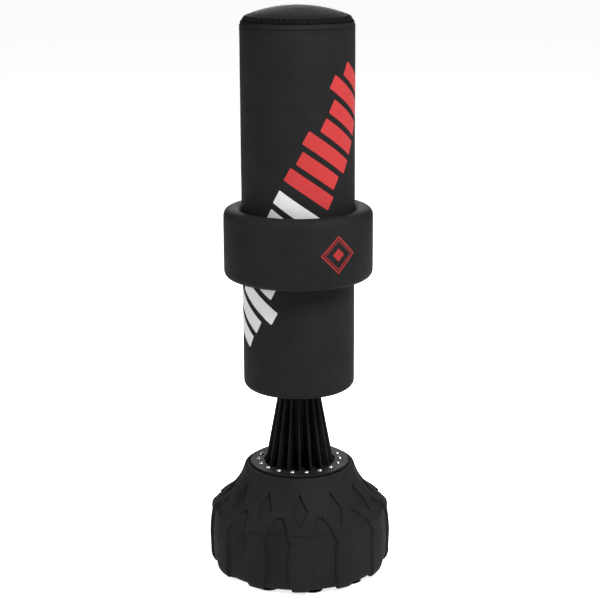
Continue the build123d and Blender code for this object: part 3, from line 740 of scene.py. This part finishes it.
# -------------------------------- neck boot and spring
def boot_ring(height, sleeve_r, fin_r):
    """The boot's outline at a height: a round sleeve with its fins, their roots filleted and tips rounded."""
    half_t = FIN_HALF_T
    fillet = min(2.5, (fin_r - sleeve_r) / 3)
    tip = min(1.6, (fin_r - sleeve_r) / 4)
    foot_x = math.sqrt(sleeve_r**2 - (half_t + fillet) ** 2)
    root_x = math.sqrt(sleeve_r**2 - half_t**2) + fillet
    gap_start = math.asin((half_t + fillet) / sleeve_r)
    turns = [between(math.pi / FIN_COUNT, gap_start, share) for share in (0, 0.5)]
    local = [(sleeve_r * math.cos(turn), sleeve_r * math.sin(turn)) for turn in turns]
    local += [
        (foot_x, half_t + fillet),
        (between(foot_x, root_x, 0.32), half_t + fillet * 0.30),
        (root_x, half_t),
        (between(root_x, fin_r - tip, 0.33), half_t),
        (between(root_x, fin_r - tip, 0.67), half_t),
        (fin_r - tip, half_t),
        (fin_r - tip * 0.3, half_t - tip * 0.3),
        (fin_r, half_t - tip),
        (fin_r, 0),
    ]
    local += [(x, -y) for x, y in reversed(local[1:-1])]
    ring = []
    for index in range(FIN_COUNT):
        azimuth = TURN * index / FIN_COUNT
        for x, y in local:
            ring.append(polar(azimuth + math.atan2(-y, x), math.hypot(x, y), height))
    return ring


def round_ring(ring, radius, height):
    """A circle with a point at the azimuth of each point of a ring."""
    return [Vector((point.x, point.y, 0)).normalized() * radius + Vector((0, 0, height)) for point in ring]


FIN_LOW_Z = 336
FIN_HIGH_Z = 569
FIN_LOW_R = 102


def fin_radius(height):
    """How far the fins reach at a height."""
    if height < FIN_LOW_Z:
        return between(FIN_LOW_R + 3, FIN_LOW_R, smooth(FIN_LOW_Z - 4, FIN_LOW_Z, height))
    return between(FIN_LOW_R, 58.5, (height - FIN_LOW_Z) / (FIN_HIGH_Z - FIN_LOW_Z))


def sleeve_radius(height):
    """The radius of the boot's sleeve between its fins, flared at both ends."""
    low_flare = 4 * (1 - smooth(FOOT_TOP_Z, 342, height))
    high_flare = 10.3 * smooth(553, 567, height)
    return BOOT_SLEEVE_R + low_flare + high_flare


def boot_half(name, heights, end_rings):
    """Half of the boot, cut level in its middle, as one closed skin."""
    rings = [boot_ring(height, sleeve_radius(height), fin_radius(height)) for height in heights]
    plain = rings[0]
    rings += [round_ring(plain, radius, height) for radius, height in end_rings]
    rings.append(round_ring(plain, BOOT_BORE_R, heights[0]))
    rings.append(rings[0])
    build = Build()
    build.rings(rings)
    return build.make(name, "boot_rubber", sharp_deg=50)


BOOT_ROW = 7.6
BOOT_ROWS = 15
SOCKET_Z = BOOT_TOP_Z - 6


def bore_rings(start_z):
    return [(BOOT_BORE_R, between(start_z, CUT_Z, step / BOOT_ROWS)) for step in range(1, BOOT_ROWS)]


low_boot = boot_half(
    "boot_lower",
    [CUT_Z - BOOT_ROW * step for step in range(BOOT_ROWS)] + [338, 333, 330, 328.4, 327.3],
    [(FOOT_R - 0.6, FOOT_TOP_Z), (FOOT_R, FOOT_TOP_Z - 0.6), (FOOT_R, FOOT_LOW_Z), (BOOT_BORE_R, FOOT_LOW_Z)]
    + bore_rings(FOOT_LOW_Z),
)
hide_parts("neck_boot")
high_boot = boot_half(
    "boot_upper",
    [CUT_Z + BOOT_ROW * step for step in range(BOOT_ROWS)] + [561, 565, 567],
    [(57.6, 567.6), (57.5, FIN_HIGH_Z), (57.5, BOOT_TOP_Z - 0.8), (56.7, BOOT_TOP_Z), (45, BOOT_TOP_Z)]
    + [(45, SOCKET_Z), (BOOT_BORE_R, SOCKET_Z)]
    + bore_rings(SOCKET_Z),
)
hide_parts("neck_boot")


def coil(name, first_turn, last_turn):
    """A stretch of the coil spring's wire, with rounded ends."""
    _, low_z, high_z = span("coil_spring")
    bottom, top = low_z + WIRE_R, high_z - WIRE_R
    steps = round((last_turn - first_turn) * TURN_STEPS)
    rings = []
    for step in range(-1, steps + 2):
        share = min(1, max(0, step / steps))
        turns = between(first_turn, last_turn, share)
        wire_r = WIRE_R if 0 < step < steps else WIRE_R * (0.92 if 0 <= step <= steps else 0.45)
        middle = polar(TURN * turns, SPRING_R, between(bottom, top, turns / SPRING_TURNS))
        outwards = Vector((middle.x, middle.y, 0)).normalized()
        ring = [math.cos(turn) * outwards + math.sin(turn) * Vector((0, 0, 1)) for turn in even_azimuths(12)]
        rings.append([middle + direction * wire_r for direction in ring])
    build = Build()
    build.rings(rings, caps=True)
    return build.make(name, "spring_steel")


# Where the coil reaches the height at which the boot is cut.
SPRING_CUT = SPRING_TURNS * 0.484
low_spring = coil("spring_lower", 0, SPRING_CUT)
high_spring = coil("spring_upper", SPRING_CUT, SPRING_TURNS)
for neck_piece in (low_spring, high_spring):
    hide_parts("coil_spring")
for neck_piece in (low_boot, low_spring):
    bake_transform(neck_piece)
for neck_piece in (high_boot, high_spring):
    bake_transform(neck_piece)


# -------------------------------- bag
SEAM_AZIMUTH = math.pi
SEAM_STEPS = (0.5, 1, 1.7, 2.6, 4, 6.5)
SEAM_CLEARANCE = 9


def seamed_azimuths(radius, count):
    """Azimuths all the way round, closer together at the seam down the back."""
    near = [SEAM_AZIMUTH + sign * step / radius for step in SEAM_STEPS for sign in (-1, 1)]
    even = even_azimuths(count, TURN / count / 2)
    kept = [azimuth for azimuth in even if abs(azimuth - SEAM_AZIMUTH) * radius > SEAM_CLEARANCE]
    return sorted(kept + near + [SEAM_AZIMUTH])


def seam_dip(azimuth, radius):
    """How far the leather is drawn in by the seam down the back, with a soft ridge either side."""
    away = abs((azimuth - SEAM_AZIMUTH + math.pi) % TURN - math.pi) * radius
    return 1.5 * math.exp(-((away / 1.3) ** 2)) - 0.35 * math.exp(-(((away - 4) / 2.2) ** 2))


def slack(azimuth, height, size, seed):
    """Soft, broad unevenness of leather over foam."""
    place = Vector((math.sin(azimuth) * 1.7, math.cos(azimuth) * 1.7, height / 190 + seed))
    fine = Vector((math.sin(azimuth) * 5.1, math.cos(azimuth) * 5.1, height / 55 + seed))
    return size * (0.75 * noise.noise(place) + 0.35 * noise.noise(fine))


def sleeve_surface(azimuth, height):
    """The radius of the bag's side, which is taut near its hem and its top seam."""
    loose = smooth(BAG_LOW_Z, BAG_LOW_Z + 60, height) * (1 - smooth(SLEEVE_TOP_Z - 40, SLEEVE_TOP_Z, height))
    return BAG_R - 0.1 + slack(azimuth, height, 0.75, 3) * loose


def sleeve_swell(azimuth, radius, height):
    if radius < HEM_R:
        return radius, height
    share = smooth(HEM_R, BAG_R, radius)
    shift = sleeve_surface(azimuth, height) - BAG_R - seam_dip(azimuth, BAG_R)
    return radius + shift * share, height


sleeve_corners = [(TUBE_R + 0.4, PLATE_Z + 0.3, 1), (HEM_R, PLATE_Z + 0.3, 0), (HEM_R, BAG_LOW_Z + 0.1, 0)]
sleeve_corners += [(BAG_R, BAG_LOW_Z + 0.1, HEM_CORNER_R - 0.3), (BAG_R, SLEEVE_TOP_Z - SEAM_GAP, 1.1)]
sleeve_corners += [(COVER_INNER_R, SLEEVE_TOP_Z - SEAM_GAP, 0.8), (COVER_INNER_R, CORE_TOP_Z + 0.3, 0.8)]
sleeve_corners.append((TUBE_R + 0.4, CORE_TOP_Z + 0.3, 1))
sleeve_profile = divided(rounded(sleeve_corners, steps=7), 13)
sleeve = lathe(sleeve_profile, seamed_azimuths(BAG_R, RING_STEPS), swell=sleeve_swell)
bag_sleeve = sleeve.make("bag_sleeve", "cover_leather", "bag", sharp_deg=60)
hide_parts("cover_sleeve", "foam_core")


def base_swell(azimuth, radius, height):
    if height > BAG_LOW_Z + 4:
        return radius, height
    crown = math.sin(math.pi * smooth(BAG_HOLE_R, HEM_R, radius))
    return radius, height + 0.9 - 0.9 * crown


base_corners = [(BAG_HOLE_R, BAG_LOW_Z + 0.1, 2), (HEM_R - 0.5, BAG_LOW_Z + 0.1, 2.4)]
base_corners += [(HEM_R - 0.5, PLATE_Z - 0.2, 1), (BAG_HOLE_R, PLATE_Z - 0.2, 1)]
base_panel = lathe(divided(rounded(base_corners), 7), even_azimuths(120), swell=base_swell)
bag_base = base_panel.make("bag_base_panel", "cover_leather", "bag", sharp_deg=60)
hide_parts("cover_base", "base_pad")


def shoulder_swell(azimuth, radius, height):
    if radius < 156:
        return radius, height
    pucker = 0.16 * math.cos(azimuth * 86) * (1 - smooth(1631, 1640, height))
    return radius + slack(azimuth, height, 0.35, 9) + pucker - seam_dip(azimuth, BAG_R) * 0.5, height


shoulder_corners = [(BAG_R, SHOULDER_LOW_Z + SEAM_GAP, 1), (164.7, 1634.6, 8), (162.3, 1640.4, 8)]
shoulder_corners += [(158.9, 1645.7, 0.9), (157.1, 1644.5, 0.4), (COVER_INNER_R, 1644.3, 0.5)]
shoulder_corners.append((COVER_INNER_R, SHOULDER_LOW_Z + SEAM_GAP, 0.5))
shoulder = lathe(divided(rounded(shoulder_corners), 3), FINE_RING, swell=shoulder_swell)
bag_shoulder = shoulder.make("bag_shoulder", "cover_leather", "bag", sharp_deg=60)
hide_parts("shoulder_band")


def zip_point(along, lift):
    """A (radius, height) point on the sloping zip band: a share of its width, and a lift above it."""
    dr = ZIP_HIGH[0] - ZIP_LOW[0]
    dz = ZIP_HIGH[1] - ZIP_LOW[1]
    width = math.hypot(dr, dz)
    return ZIP_LOW[0] + along * dr + lift * dz / width, ZIP_LOW[1] + along * dz - lift * dr / width


DOME_RISE = APEX_Z - PANEL_EDGE[1]
DOME_R = (PANEL_EDGE[0] ** 2 + DOME_RISE**2) / (2 * DOME_RISE)
DOME_ROW = 6.5


def dome_height(radius):
    return APEX_Z - DOME_R + math.sqrt(DOME_R**2 - radius**2)


def top_swell(azimuth, radius, height):
    if height < 1660:
        return radius, height
    edge = smooth(96, 144, radius)
    uneven = noise.noise(Vector((math.sin(azimuth) * 9, math.cos(azimuth) * 9, 0)))
    pucker = 0.34 * edge * (math.cos(azimuth * 52) + 0.5 * uneven)
    rolled = 1.1 * math.exp(-(((radius - 137) / 3) ** 2))
    broad = slack(azimuth, radius * 1.4, 1.1, 15) * smooth(0, 60, radius) * (1 - edge * 0.6)
    return radius, height - 0.5 + broad - pucker - rolled


under_low, under_high = zip_point(0.10, -1.5), zip_point(0.92, -1.5)
top_corners = [(0, CORE_TOP_Z + 0.4, 0), (149.6, CORE_TOP_Z + 0.4, 1), (149.6, 1644.8, 0.4)]
top_corners += [(155.4, 1644.8, 0.4), (*under_low, 0.4), (*under_high, 0.4)]
top_corners += [(PANEL_EDGE[0] - 0.6, PANEL_EDGE[1] - 1.3, 0.3), (*PANEL_EDGE, 0.7)]
top_corners.append((146.4, dome_height(146.4), 0))
dome_radii = [144.5, 142.5, 140.8, 139.4, 138.2, 137, 135.8, 134.6, 133, 130.5]
dome_radii += [127 - DOME_ROW * step for step in range(20)]
top_profile = rounded(top_corners, closed=False)
top_profile += [(radius, dome_height(radius)) for radius in dome_radii] + [(0, APEX_Z)]
top_profile = divided(top_profile, 9, closed=False)
top = lathe(top_profile, FINE_RING, closed=False, swell=top_swell)
bag_top = top.make("bag_top", "cover_leather", "bag", sharp_deg=60)
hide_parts("top_panel", "top_pad")

# -------------------------------- zip
for tape_name, (low_share, high_share) in zip(("zip_tape_lower", "zip_tape_upper"), TAPE_SPANS):
    places = ((low_share, -TAPE_T), (high_share, -TAPE_T), (high_share, 0), (low_share, 0))
    outline = rounded([(*zip_point(share, lift), 0.35) for share, lift in places], steps=2)
    tape = lathe(divided(outline, 1.6), FINE_RING)
    tape_piece = tape.make(tape_name + "_woven", "zip_tape", "bag", sharp_deg=60)
    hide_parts(tape_name)

# A tooth from its root to its head: shares of its length, of its width there and of its height there.
TOOTH_ROOT = ((0, 0.4, 0.3), (0.03, 0.8, 0.72), (0.12, 0.95, 0.95), (0.38, 0.9, 1), (0.58, 0.64, 0.94))
TOOTH_HEAD = ((0.74, 0.92, 1), (0.9, 1, 0.98), (0.97, 0.82, 0.78), (1, 0.42, 0.34))
TOOTH_SECTION = ((-1, 0), (-1, 0.55), (-0.82, 0.86), (-0.4, 1), (0.4, 1), (0.82, 0.86), (1, 0.55), (1, 0))


def tooth_rings(azimuth, root, head):
    """A tooth's rings, between two shares of the band's width."""
    rings = []
    for along, width, height in TOOTH_ROOT + TOOTH_HEAD:
        ring = []
        for sideways, up in TOOTH_SECTION:
            radius, level = zip_point(between(root, head, along), TOOTH_H * height * up + 0.02)
            shift = sideways * width * TOOTH_W / 2
            ring.append(polar(azimuth + shift / radius, radius, level))
        rings.append(ring)
    return rings


teeth = Build()
(lower_root, lower_head), (upper_head, upper_root) = TOOTH_SPANS
for index in range(TOOTH_COUNT):
    teeth.rings(tooth_rings(TURN * index / TOOTH_COUNT, lower_root, lower_head), caps=True)
    teeth.rings(tooth_rings(TURN * (index + 0.5) / TOOTH_COUNT, upper_root, upper_head), caps=True)
zip_teeth = teeth.make("zip_teeth_moulded", "zip_teeth", "bag", sharp_deg=55)
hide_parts("zip_teeth")


# -------------------------------- stitching
STITCH_STEP = 5.2
STITCH_W = 0.9
STITCH_SHARE = 0.72
SEAM_STITCH_OUT = 4.2
# A stitch from end to end: shares of its length, of its width there and of its lift there.
STITCH_FORM = ((0, 0.35, -0.25), (0.12, 0.85, 0.15), (0.5, 1, 0.5), (0.88, 0.85, 0.15), (1, 0.35, -0.25))


def stitch_rings(start, end, outwards, width):
    """One stitch of thread from point to point, standing proud in its middle."""
    along = end - start
    aside = along.cross(outwards).normalized()
    rings = []
    for share, size, lift in STITCH_FORM:
        middle = start + along * share + outwards * lift * width
        ring = [aside * math.cos(turn) + outwards * math.sin(turn) for turn in even_azimuths(6)]
        rings.append([middle + direction * size * width / 2 for direction in ring])
    return rings


def stitch_line(build, path, outwards):
    """Stitches along a path, each covering a share of its step."""
    for start, end, lift in zip(path, path[1:], outwards):
        build.rings(stitch_rings(start, start.lerp(end, STITCH_SHARE), lift, STITCH_W), caps=True)


def round_seam(build, radius_at, height, tilt):
    """A line of stitches all the way round the bag, facing outwards and up by a tilt."""
    azimuths = even_azimuths(round(TURN * BAG_R / STITCH_STEP)) + [TURN]
    path = [polar(azimuth, radius_at(azimuth), height) for azimuth in azimuths]
    stitch_line(build, path, [polar(azimuth, math.cos(tilt), math.sin(tilt)) for azimuth in azimuths])


def back_seam(build, surface, radius, low_z, count):
    """Two lines of stitches down the back, one either side of the seam."""
    for side in (-1, 1):
        azimuth = SEAM_AZIMUTH + side * SEAM_STITCH_OUT / radius
        path = [surface(azimuth, low_z + STITCH_STEP * step) for step in range(count)]
        stitch_line(build, path, [polar(azimuth, 1, 0)] * count)


SLEEVE_SEAM_Z = SLEEVE_TOP_Z - 5.5
SHOULDER_SEAM = (164.3, 1635.6)
PANEL_SEAM_R = 141.3
seams = Build()
round_seam(seams, lambda a: sleeve_surface(a, SLEEVE_SEAM_Z), SLEEVE_SEAM_Z, 0)
round_seam(seams, lambda a: shoulder_swell(a, *SHOULDER_SEAM)[0], SHOULDER_SEAM[1], 0.16)
round_seam(seams, lambda a: PANEL_SEAM_R, dome_height(PANEL_SEAM_R) - 0.9, 1.2)
round_seam(seams, lambda a: 150.8, BAG_LOW_Z + 1.15, -1.25)
back_seam(seams, lambda a, z: polar(a, sleeve_surface(a, z) + 0.2, z), BAG_R, BAG_LOW_Z + 24, 199)
seams.make("bag_seam_stitches", "cover_leather", "bag", material=THREAD)

# Overcast stitches tie the zip's lower tape to the shoulder band, one by each tooth.
OVERCAST = ((161.9, 1641.7), (159.2, 1645.9), (157.7, 1647.3))
OVERCAST_W = 2.3
overcast = Build()
for index in range(TOOTH_COUNT * 2):
    azimuth = TURN * (index + 0.5) / (TOOTH_COUNT * 2)
    outwards = polar(azimuth, 0.86, 0.51)
    for low, high in zip(OVERCAST, OVERCAST[1:]):
        stitch = stitch_rings(polar(azimuth, *low), polar(azimuth, *high), outwards, OVERCAST_W)
        overcast.rings(stitch, caps=True)
overcast.make("zip_overcast_stitches", "zip_tape", "bag", material=THREAD)

# -------------------------------- print on the bag
# Plain slanted bars stand where the photograph has lettering. Arc lengths run from the front towards +X.
PRINT_START = Vector((11.6, 1318))
PRINT_STEM = Vector((0.818, -0.576))
PRINT_CROSS = Vector((0.48, 0.88))
PRINT_FOOT = 0.03
BAR_LIFT = 0.32
BAR_CORNER_R = 3
# Each row of bars: the first bar's place across, the step to the next, a bar's width, and each bar's two ends.
RED_ENDS = ((3, 160), (12, 150), (0, 165), (30, 165), (30, 165), (0, 165), (30, 165))
WHITE_ENDS = ((0, 132), (0, 138), (20, 171), (20, 134), (10, 150), (10, 150), (10, 150), (6, 158))
PRINT_ROWS = {
    "print_red_bars": (RED_PRINT, -114, 57.3, 41, RED_ENDS),
    "print_white_bars": (WHITE_PRINT, -606, 59.9, 42, WHITE_ENDS),
}


def on_sleeve(arc, height, lift):
    """A point on the bag's side at an arc length from its front."""
    azimuth = arc / BAG_R
    return polar(azimuth, sleeve_surface(azimuth, height) + lift, height)


def print_shapes(outlines, place, step, lift, *details):
    """Flat shapes printed on a surface, as one piece."""
    build = Build()
    for outline in outlines:
        build.join(plate(outline, step, place, PRINT_FOOT, lift))
    build.make(*details)


for bar_name, (ink, row_start, bar_step, bar_width, bar_ends) in PRINT_ROWS.items():
    outlines = []
    for index, (start, end) in enumerate(bar_ends):
        first = row_start + bar_step * index
        last = first + bar_width
        places = ((start, first), (end, first), (end, last), (start, last))
        corners = [PRINT_START + PRINT_STEM * along + PRINT_CROSS * across for along, across in places]
        outlines.append(rounded([(*corner, BAR_CORNER_R) for corner in corners], steps=3))
    print_shapes(outlines, on_sleeve, MESH_STEP, BAR_LIFT, bar_name, "cover_leather", "bag", 60, ink)

# -------------------------------- collar
COLLAR_TUCK = 0.4
CLOTH = {"quality": 4, "mass": 0.4, "bending_stiffness": 2, "tension_stiffness": 30}
CLOTH |= {"compression_stiffness": 30, "vertex_group_mass": "held"}
CLOTH |= {"use_pressure": True, "uniform_pressure_force": 4}
CLOTH_FRAMES = 20
COLLAR_MOVE = 3
LOOK_IN = 60


def collar_swell(azimuth, radius, height):
    share = smooth(COLLAR_BORE_R + 6, COLLAR_BORE_R + 26, radius)
    shift = slack(azimuth, height, 1.3, 21) - seam_dip(azimuth, COLLAR_R) * 1.1
    return radius + shift * share, height


low_z, high_z = COLLAR_LOW_Z + COLLAR_TUCK, COLLAR_HIGH_Z - COLLAR_TUCK
outer_r, bore_corner_r = COLLAR_R - COLLAR_TUCK, COLLAR_CORNER_R - 6
collar_corners = [(COLLAR_BORE_R, low_z, bore_corner_r), (outer_r, low_z, COLLAR_CORNER_R)]
collar_corners += [(outer_r, high_z, COLLAR_CORNER_R), (COLLAR_BORE_R, high_z, bore_corner_r)]
collar_profile = divided(rounded(collar_corners, steps=6), MESH_STEP)
collar_build = lathe(collar_profile, seamed_azimuths(COLLAR_R, RING_STEPS), swell=collar_swell)
collar = collar_build.make("collar_padded", "collar_leather", sharp_deg=70)


def inflate(piece, held, furthest):
    """Swells a padded piece as cloth under pressure. Its held points stay, and the rest stop at a limit."""
    start = [vertex.co.copy() for vertex in piece.data.vertices]
    group = piece.vertex_groups.new(name="held")
    group.add(held, 1.0, "REPLACE")
    cloth = piece.modifiers.new("Cloth", "CLOTH")
    for name, value in CLOTH.items():
        setattr(cloth.settings, name, value)
    cloth.settings.effector_weights.gravity = 0
    cloth.collision_settings.use_collision = False
    cloth.point_cache.frame_start = 1
    cloth.point_cache.frame_end = CLOTH_FRAMES
    for step in range(1, CLOTH_FRAMES + 1):
        bpy.context.scene.frame_set(step)
    swollen = piece.evaluated_get(bpy.context.evaluated_depsgraph_get())
    end = [vertex.co.copy() for vertex in swollen.data.vertices]
    piece.modifiers.clear()
    piece.vertex_groups.clear()
    for vertex, first, last in zip(piece.data.vertices, start, end):
        shift = last - first
        if shift.length > furthest:
            shift *= furthest / shift.length
        vertex.co = first + shift
    bpy.context.scene.frame_set(1)


held_r = (COLLAR_BORE_R + 1.5) * MM
bore = [vertex.index for vertex in collar.data.vertices if vertex.co.xy.length < held_r]
inflate(collar, bore, COLLAR_MOVE * MM)
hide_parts("collar_cover", "collar_foam")
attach(collar, "collar")

collar_points = [vertex.co.copy() for vertex in collar.data.vertices]
collar_tree = BVHTree.FromPolygons(collar_points, [tuple(face.vertices) for face in collar.data.polygons])


def on_collar(azimuth, height, lift):
    """A point on the collar's outside, found by looking in from outside it."""
    outside = polar(azimuth, COLLAR_R + LOOK_IN, height) * MM
    hit, normal, _, _ = collar_tree.ray_cast(outside, -polar(azimuth, 1, 0))
    return (hit + normal.normalized() * lift * MM) / MM


EMBLEM_AZIMUTH = math.radians(31.1)
EMBLEM_Z = 1007
EMBLEM_REACH = 55
EMBLEM_BANDS = ((1.0, 0.9), (0.8, 0.745), (0.34, 0.0))


def on_emblem(x, y, lift):
    return on_collar(EMBLEM_AZIMUTH + x / COLLAR_R, EMBLEM_Z + y, lift)


TIPS = (Vector((0, 1)), Vector((1, 0)), Vector((0, -1)), Vector((-1, 0)))
outlines = []
for outer, inner in EMBLEM_BANDS:
    if inner == 0:
        bands, corner_r = [[(k, outer) for k in range(4)]], 1.2
    else:
        bands, corner_r = [((k - 1, outer), (k, outer), (k, inner), (k - 1, inner)) for k in range(4)], 0
    for band in bands:
        outlines.append(rounded([(*(TIPS[tip] * share * EMBLEM_REACH), corner_r) for tip, share in band]))
details = ("print_collar_rhombus", "collar_leather", "collar", 60, DARK_RED_PRINT)
print_shapes(outlines, on_emblem, 6, 0.35, *details)

collar_seams = Build()
back_seam(collar_seams, lambda a, z: on_collar(a, z, 0.1), COLLAR_R, COLLAR_LOW_Z + 22, 32)
collar_seams.make("collar_seam_stitches", "collar_leather", "collar", material=THREAD)

# -------------------------------- floor, light and camera
FLOOR_HALF = 60
FLOOR_GLOW = 0.8
WHITE = (1, 1, 1, 1)
floor_mesh = bpy.data.meshes.new("floor")
floor_corners = [(x * FLOOR_HALF, y * FLOOR_HALF, 0) for x, y in ((-1, -1), (1, -1), (1, 1), (-1, 1))]
floor_mesh.from_pydata(floor_corners, [], [(0, 1, 2, 3)])
floor = linked("floor", floor_mesh)
floor_looks = {"Specular_IOR_Level": 0, "Emission_Color": WHITE, "Emission_Strength": FLOOR_GLOW}
floor_mesh.materials.append(finish("floor_white", (0.92, 0.92, 0.92), 0.9, **floor_looks))

# The studio's walls look pale to the camera, but light the bag only faintly.
WALLS_SEEN = 0.86
WALLS_LIGHT = 0.17
world = bpy.data.worlds.new("studio")
world.use_nodes = True
sky = world.node_tree
seen = sky.nodes["Background"]
cast = sky.nodes.new("ShaderNodeBackground")
for walls, strength in ((seen, WALLS_SEEN), (cast, WALLS_LIGHT)):
    walls.inputs["Color"].default_value = WHITE
    walls.inputs["Strength"].default_value = strength
ray_kind = sky.nodes.new("ShaderNodeLightPath")
chosen_walls = sky.nodes.new("ShaderNodeMixShader")
sky.links.new(ray_kind.outputs["Is Camera Ray"], chosen_walls.inputs["Fac"])
sky.links.new(cast.outputs["Background"], chosen_walls.inputs[1])
sky.links.new(seen.outputs["Background"], chosen_walls.inputs[2])
sky.links.new(chosen_walls.outputs["Shader"], sky.nodes["World Output"].inputs["Surface"])
bpy.context.scene.world = world
bpy.context.scene.view_settings.view_transform = "Standard"


LIT_POINT = (0, 0, 0.9)


def area_light(name, place, size, power):
    """A soft square light that faces the bag's middle."""
    light = bpy.data.lights.new(name, "AREA")
    light.shape = "SQUARE"
    light.size = size
    light.energy = power
    lamp = linked(name, light)
    lamp.location = place
    lamp.rotation_mode = "QUATERNION"
    lamp.rotation_quaternion = (Vector(LIT_POINT) - Vector(place)).to_track_quat("-Z", "Y")


area_light("key", (1.9, -2.4, 4.7), 1.6, 590)
area_light("fill", (-3.2, -0.9, 2.2), 1.2, 70)
area_light("back", (0, 3.2, 2.3), 1.6, 85)

# The camera stands in front of the bag and looks down at it, with small turns that match the photograph's.
CAMERA_PLACE = Vector((0, -4.5338, 1.98848))
CAMERA_LENS = 94.954
CAMERA_DOWN = 0.25038
CAMERA_ROLL = -0.0050552
CAMERA_YAW = -0.00088
camera_data = bpy.data.cameras.new("camera")
camera_data.lens = CAMERA_LENS
camera_data.sensor_width = 36
camera_data.clip_end = 200
camera = linked("camera", camera_data)
camera.matrix_world = Matrix.Translation(CAMERA_PLACE)
for angle, axis in ((CAMERA_YAW, "Z"), (math.pi / 2 - CAMERA_DOWN, "X"), (CAMERA_ROLL, "Z")):
    camera.matrix_world @= Matrix.Rotation(angle, 4, axis)
bpy.context.scene.camera = camera
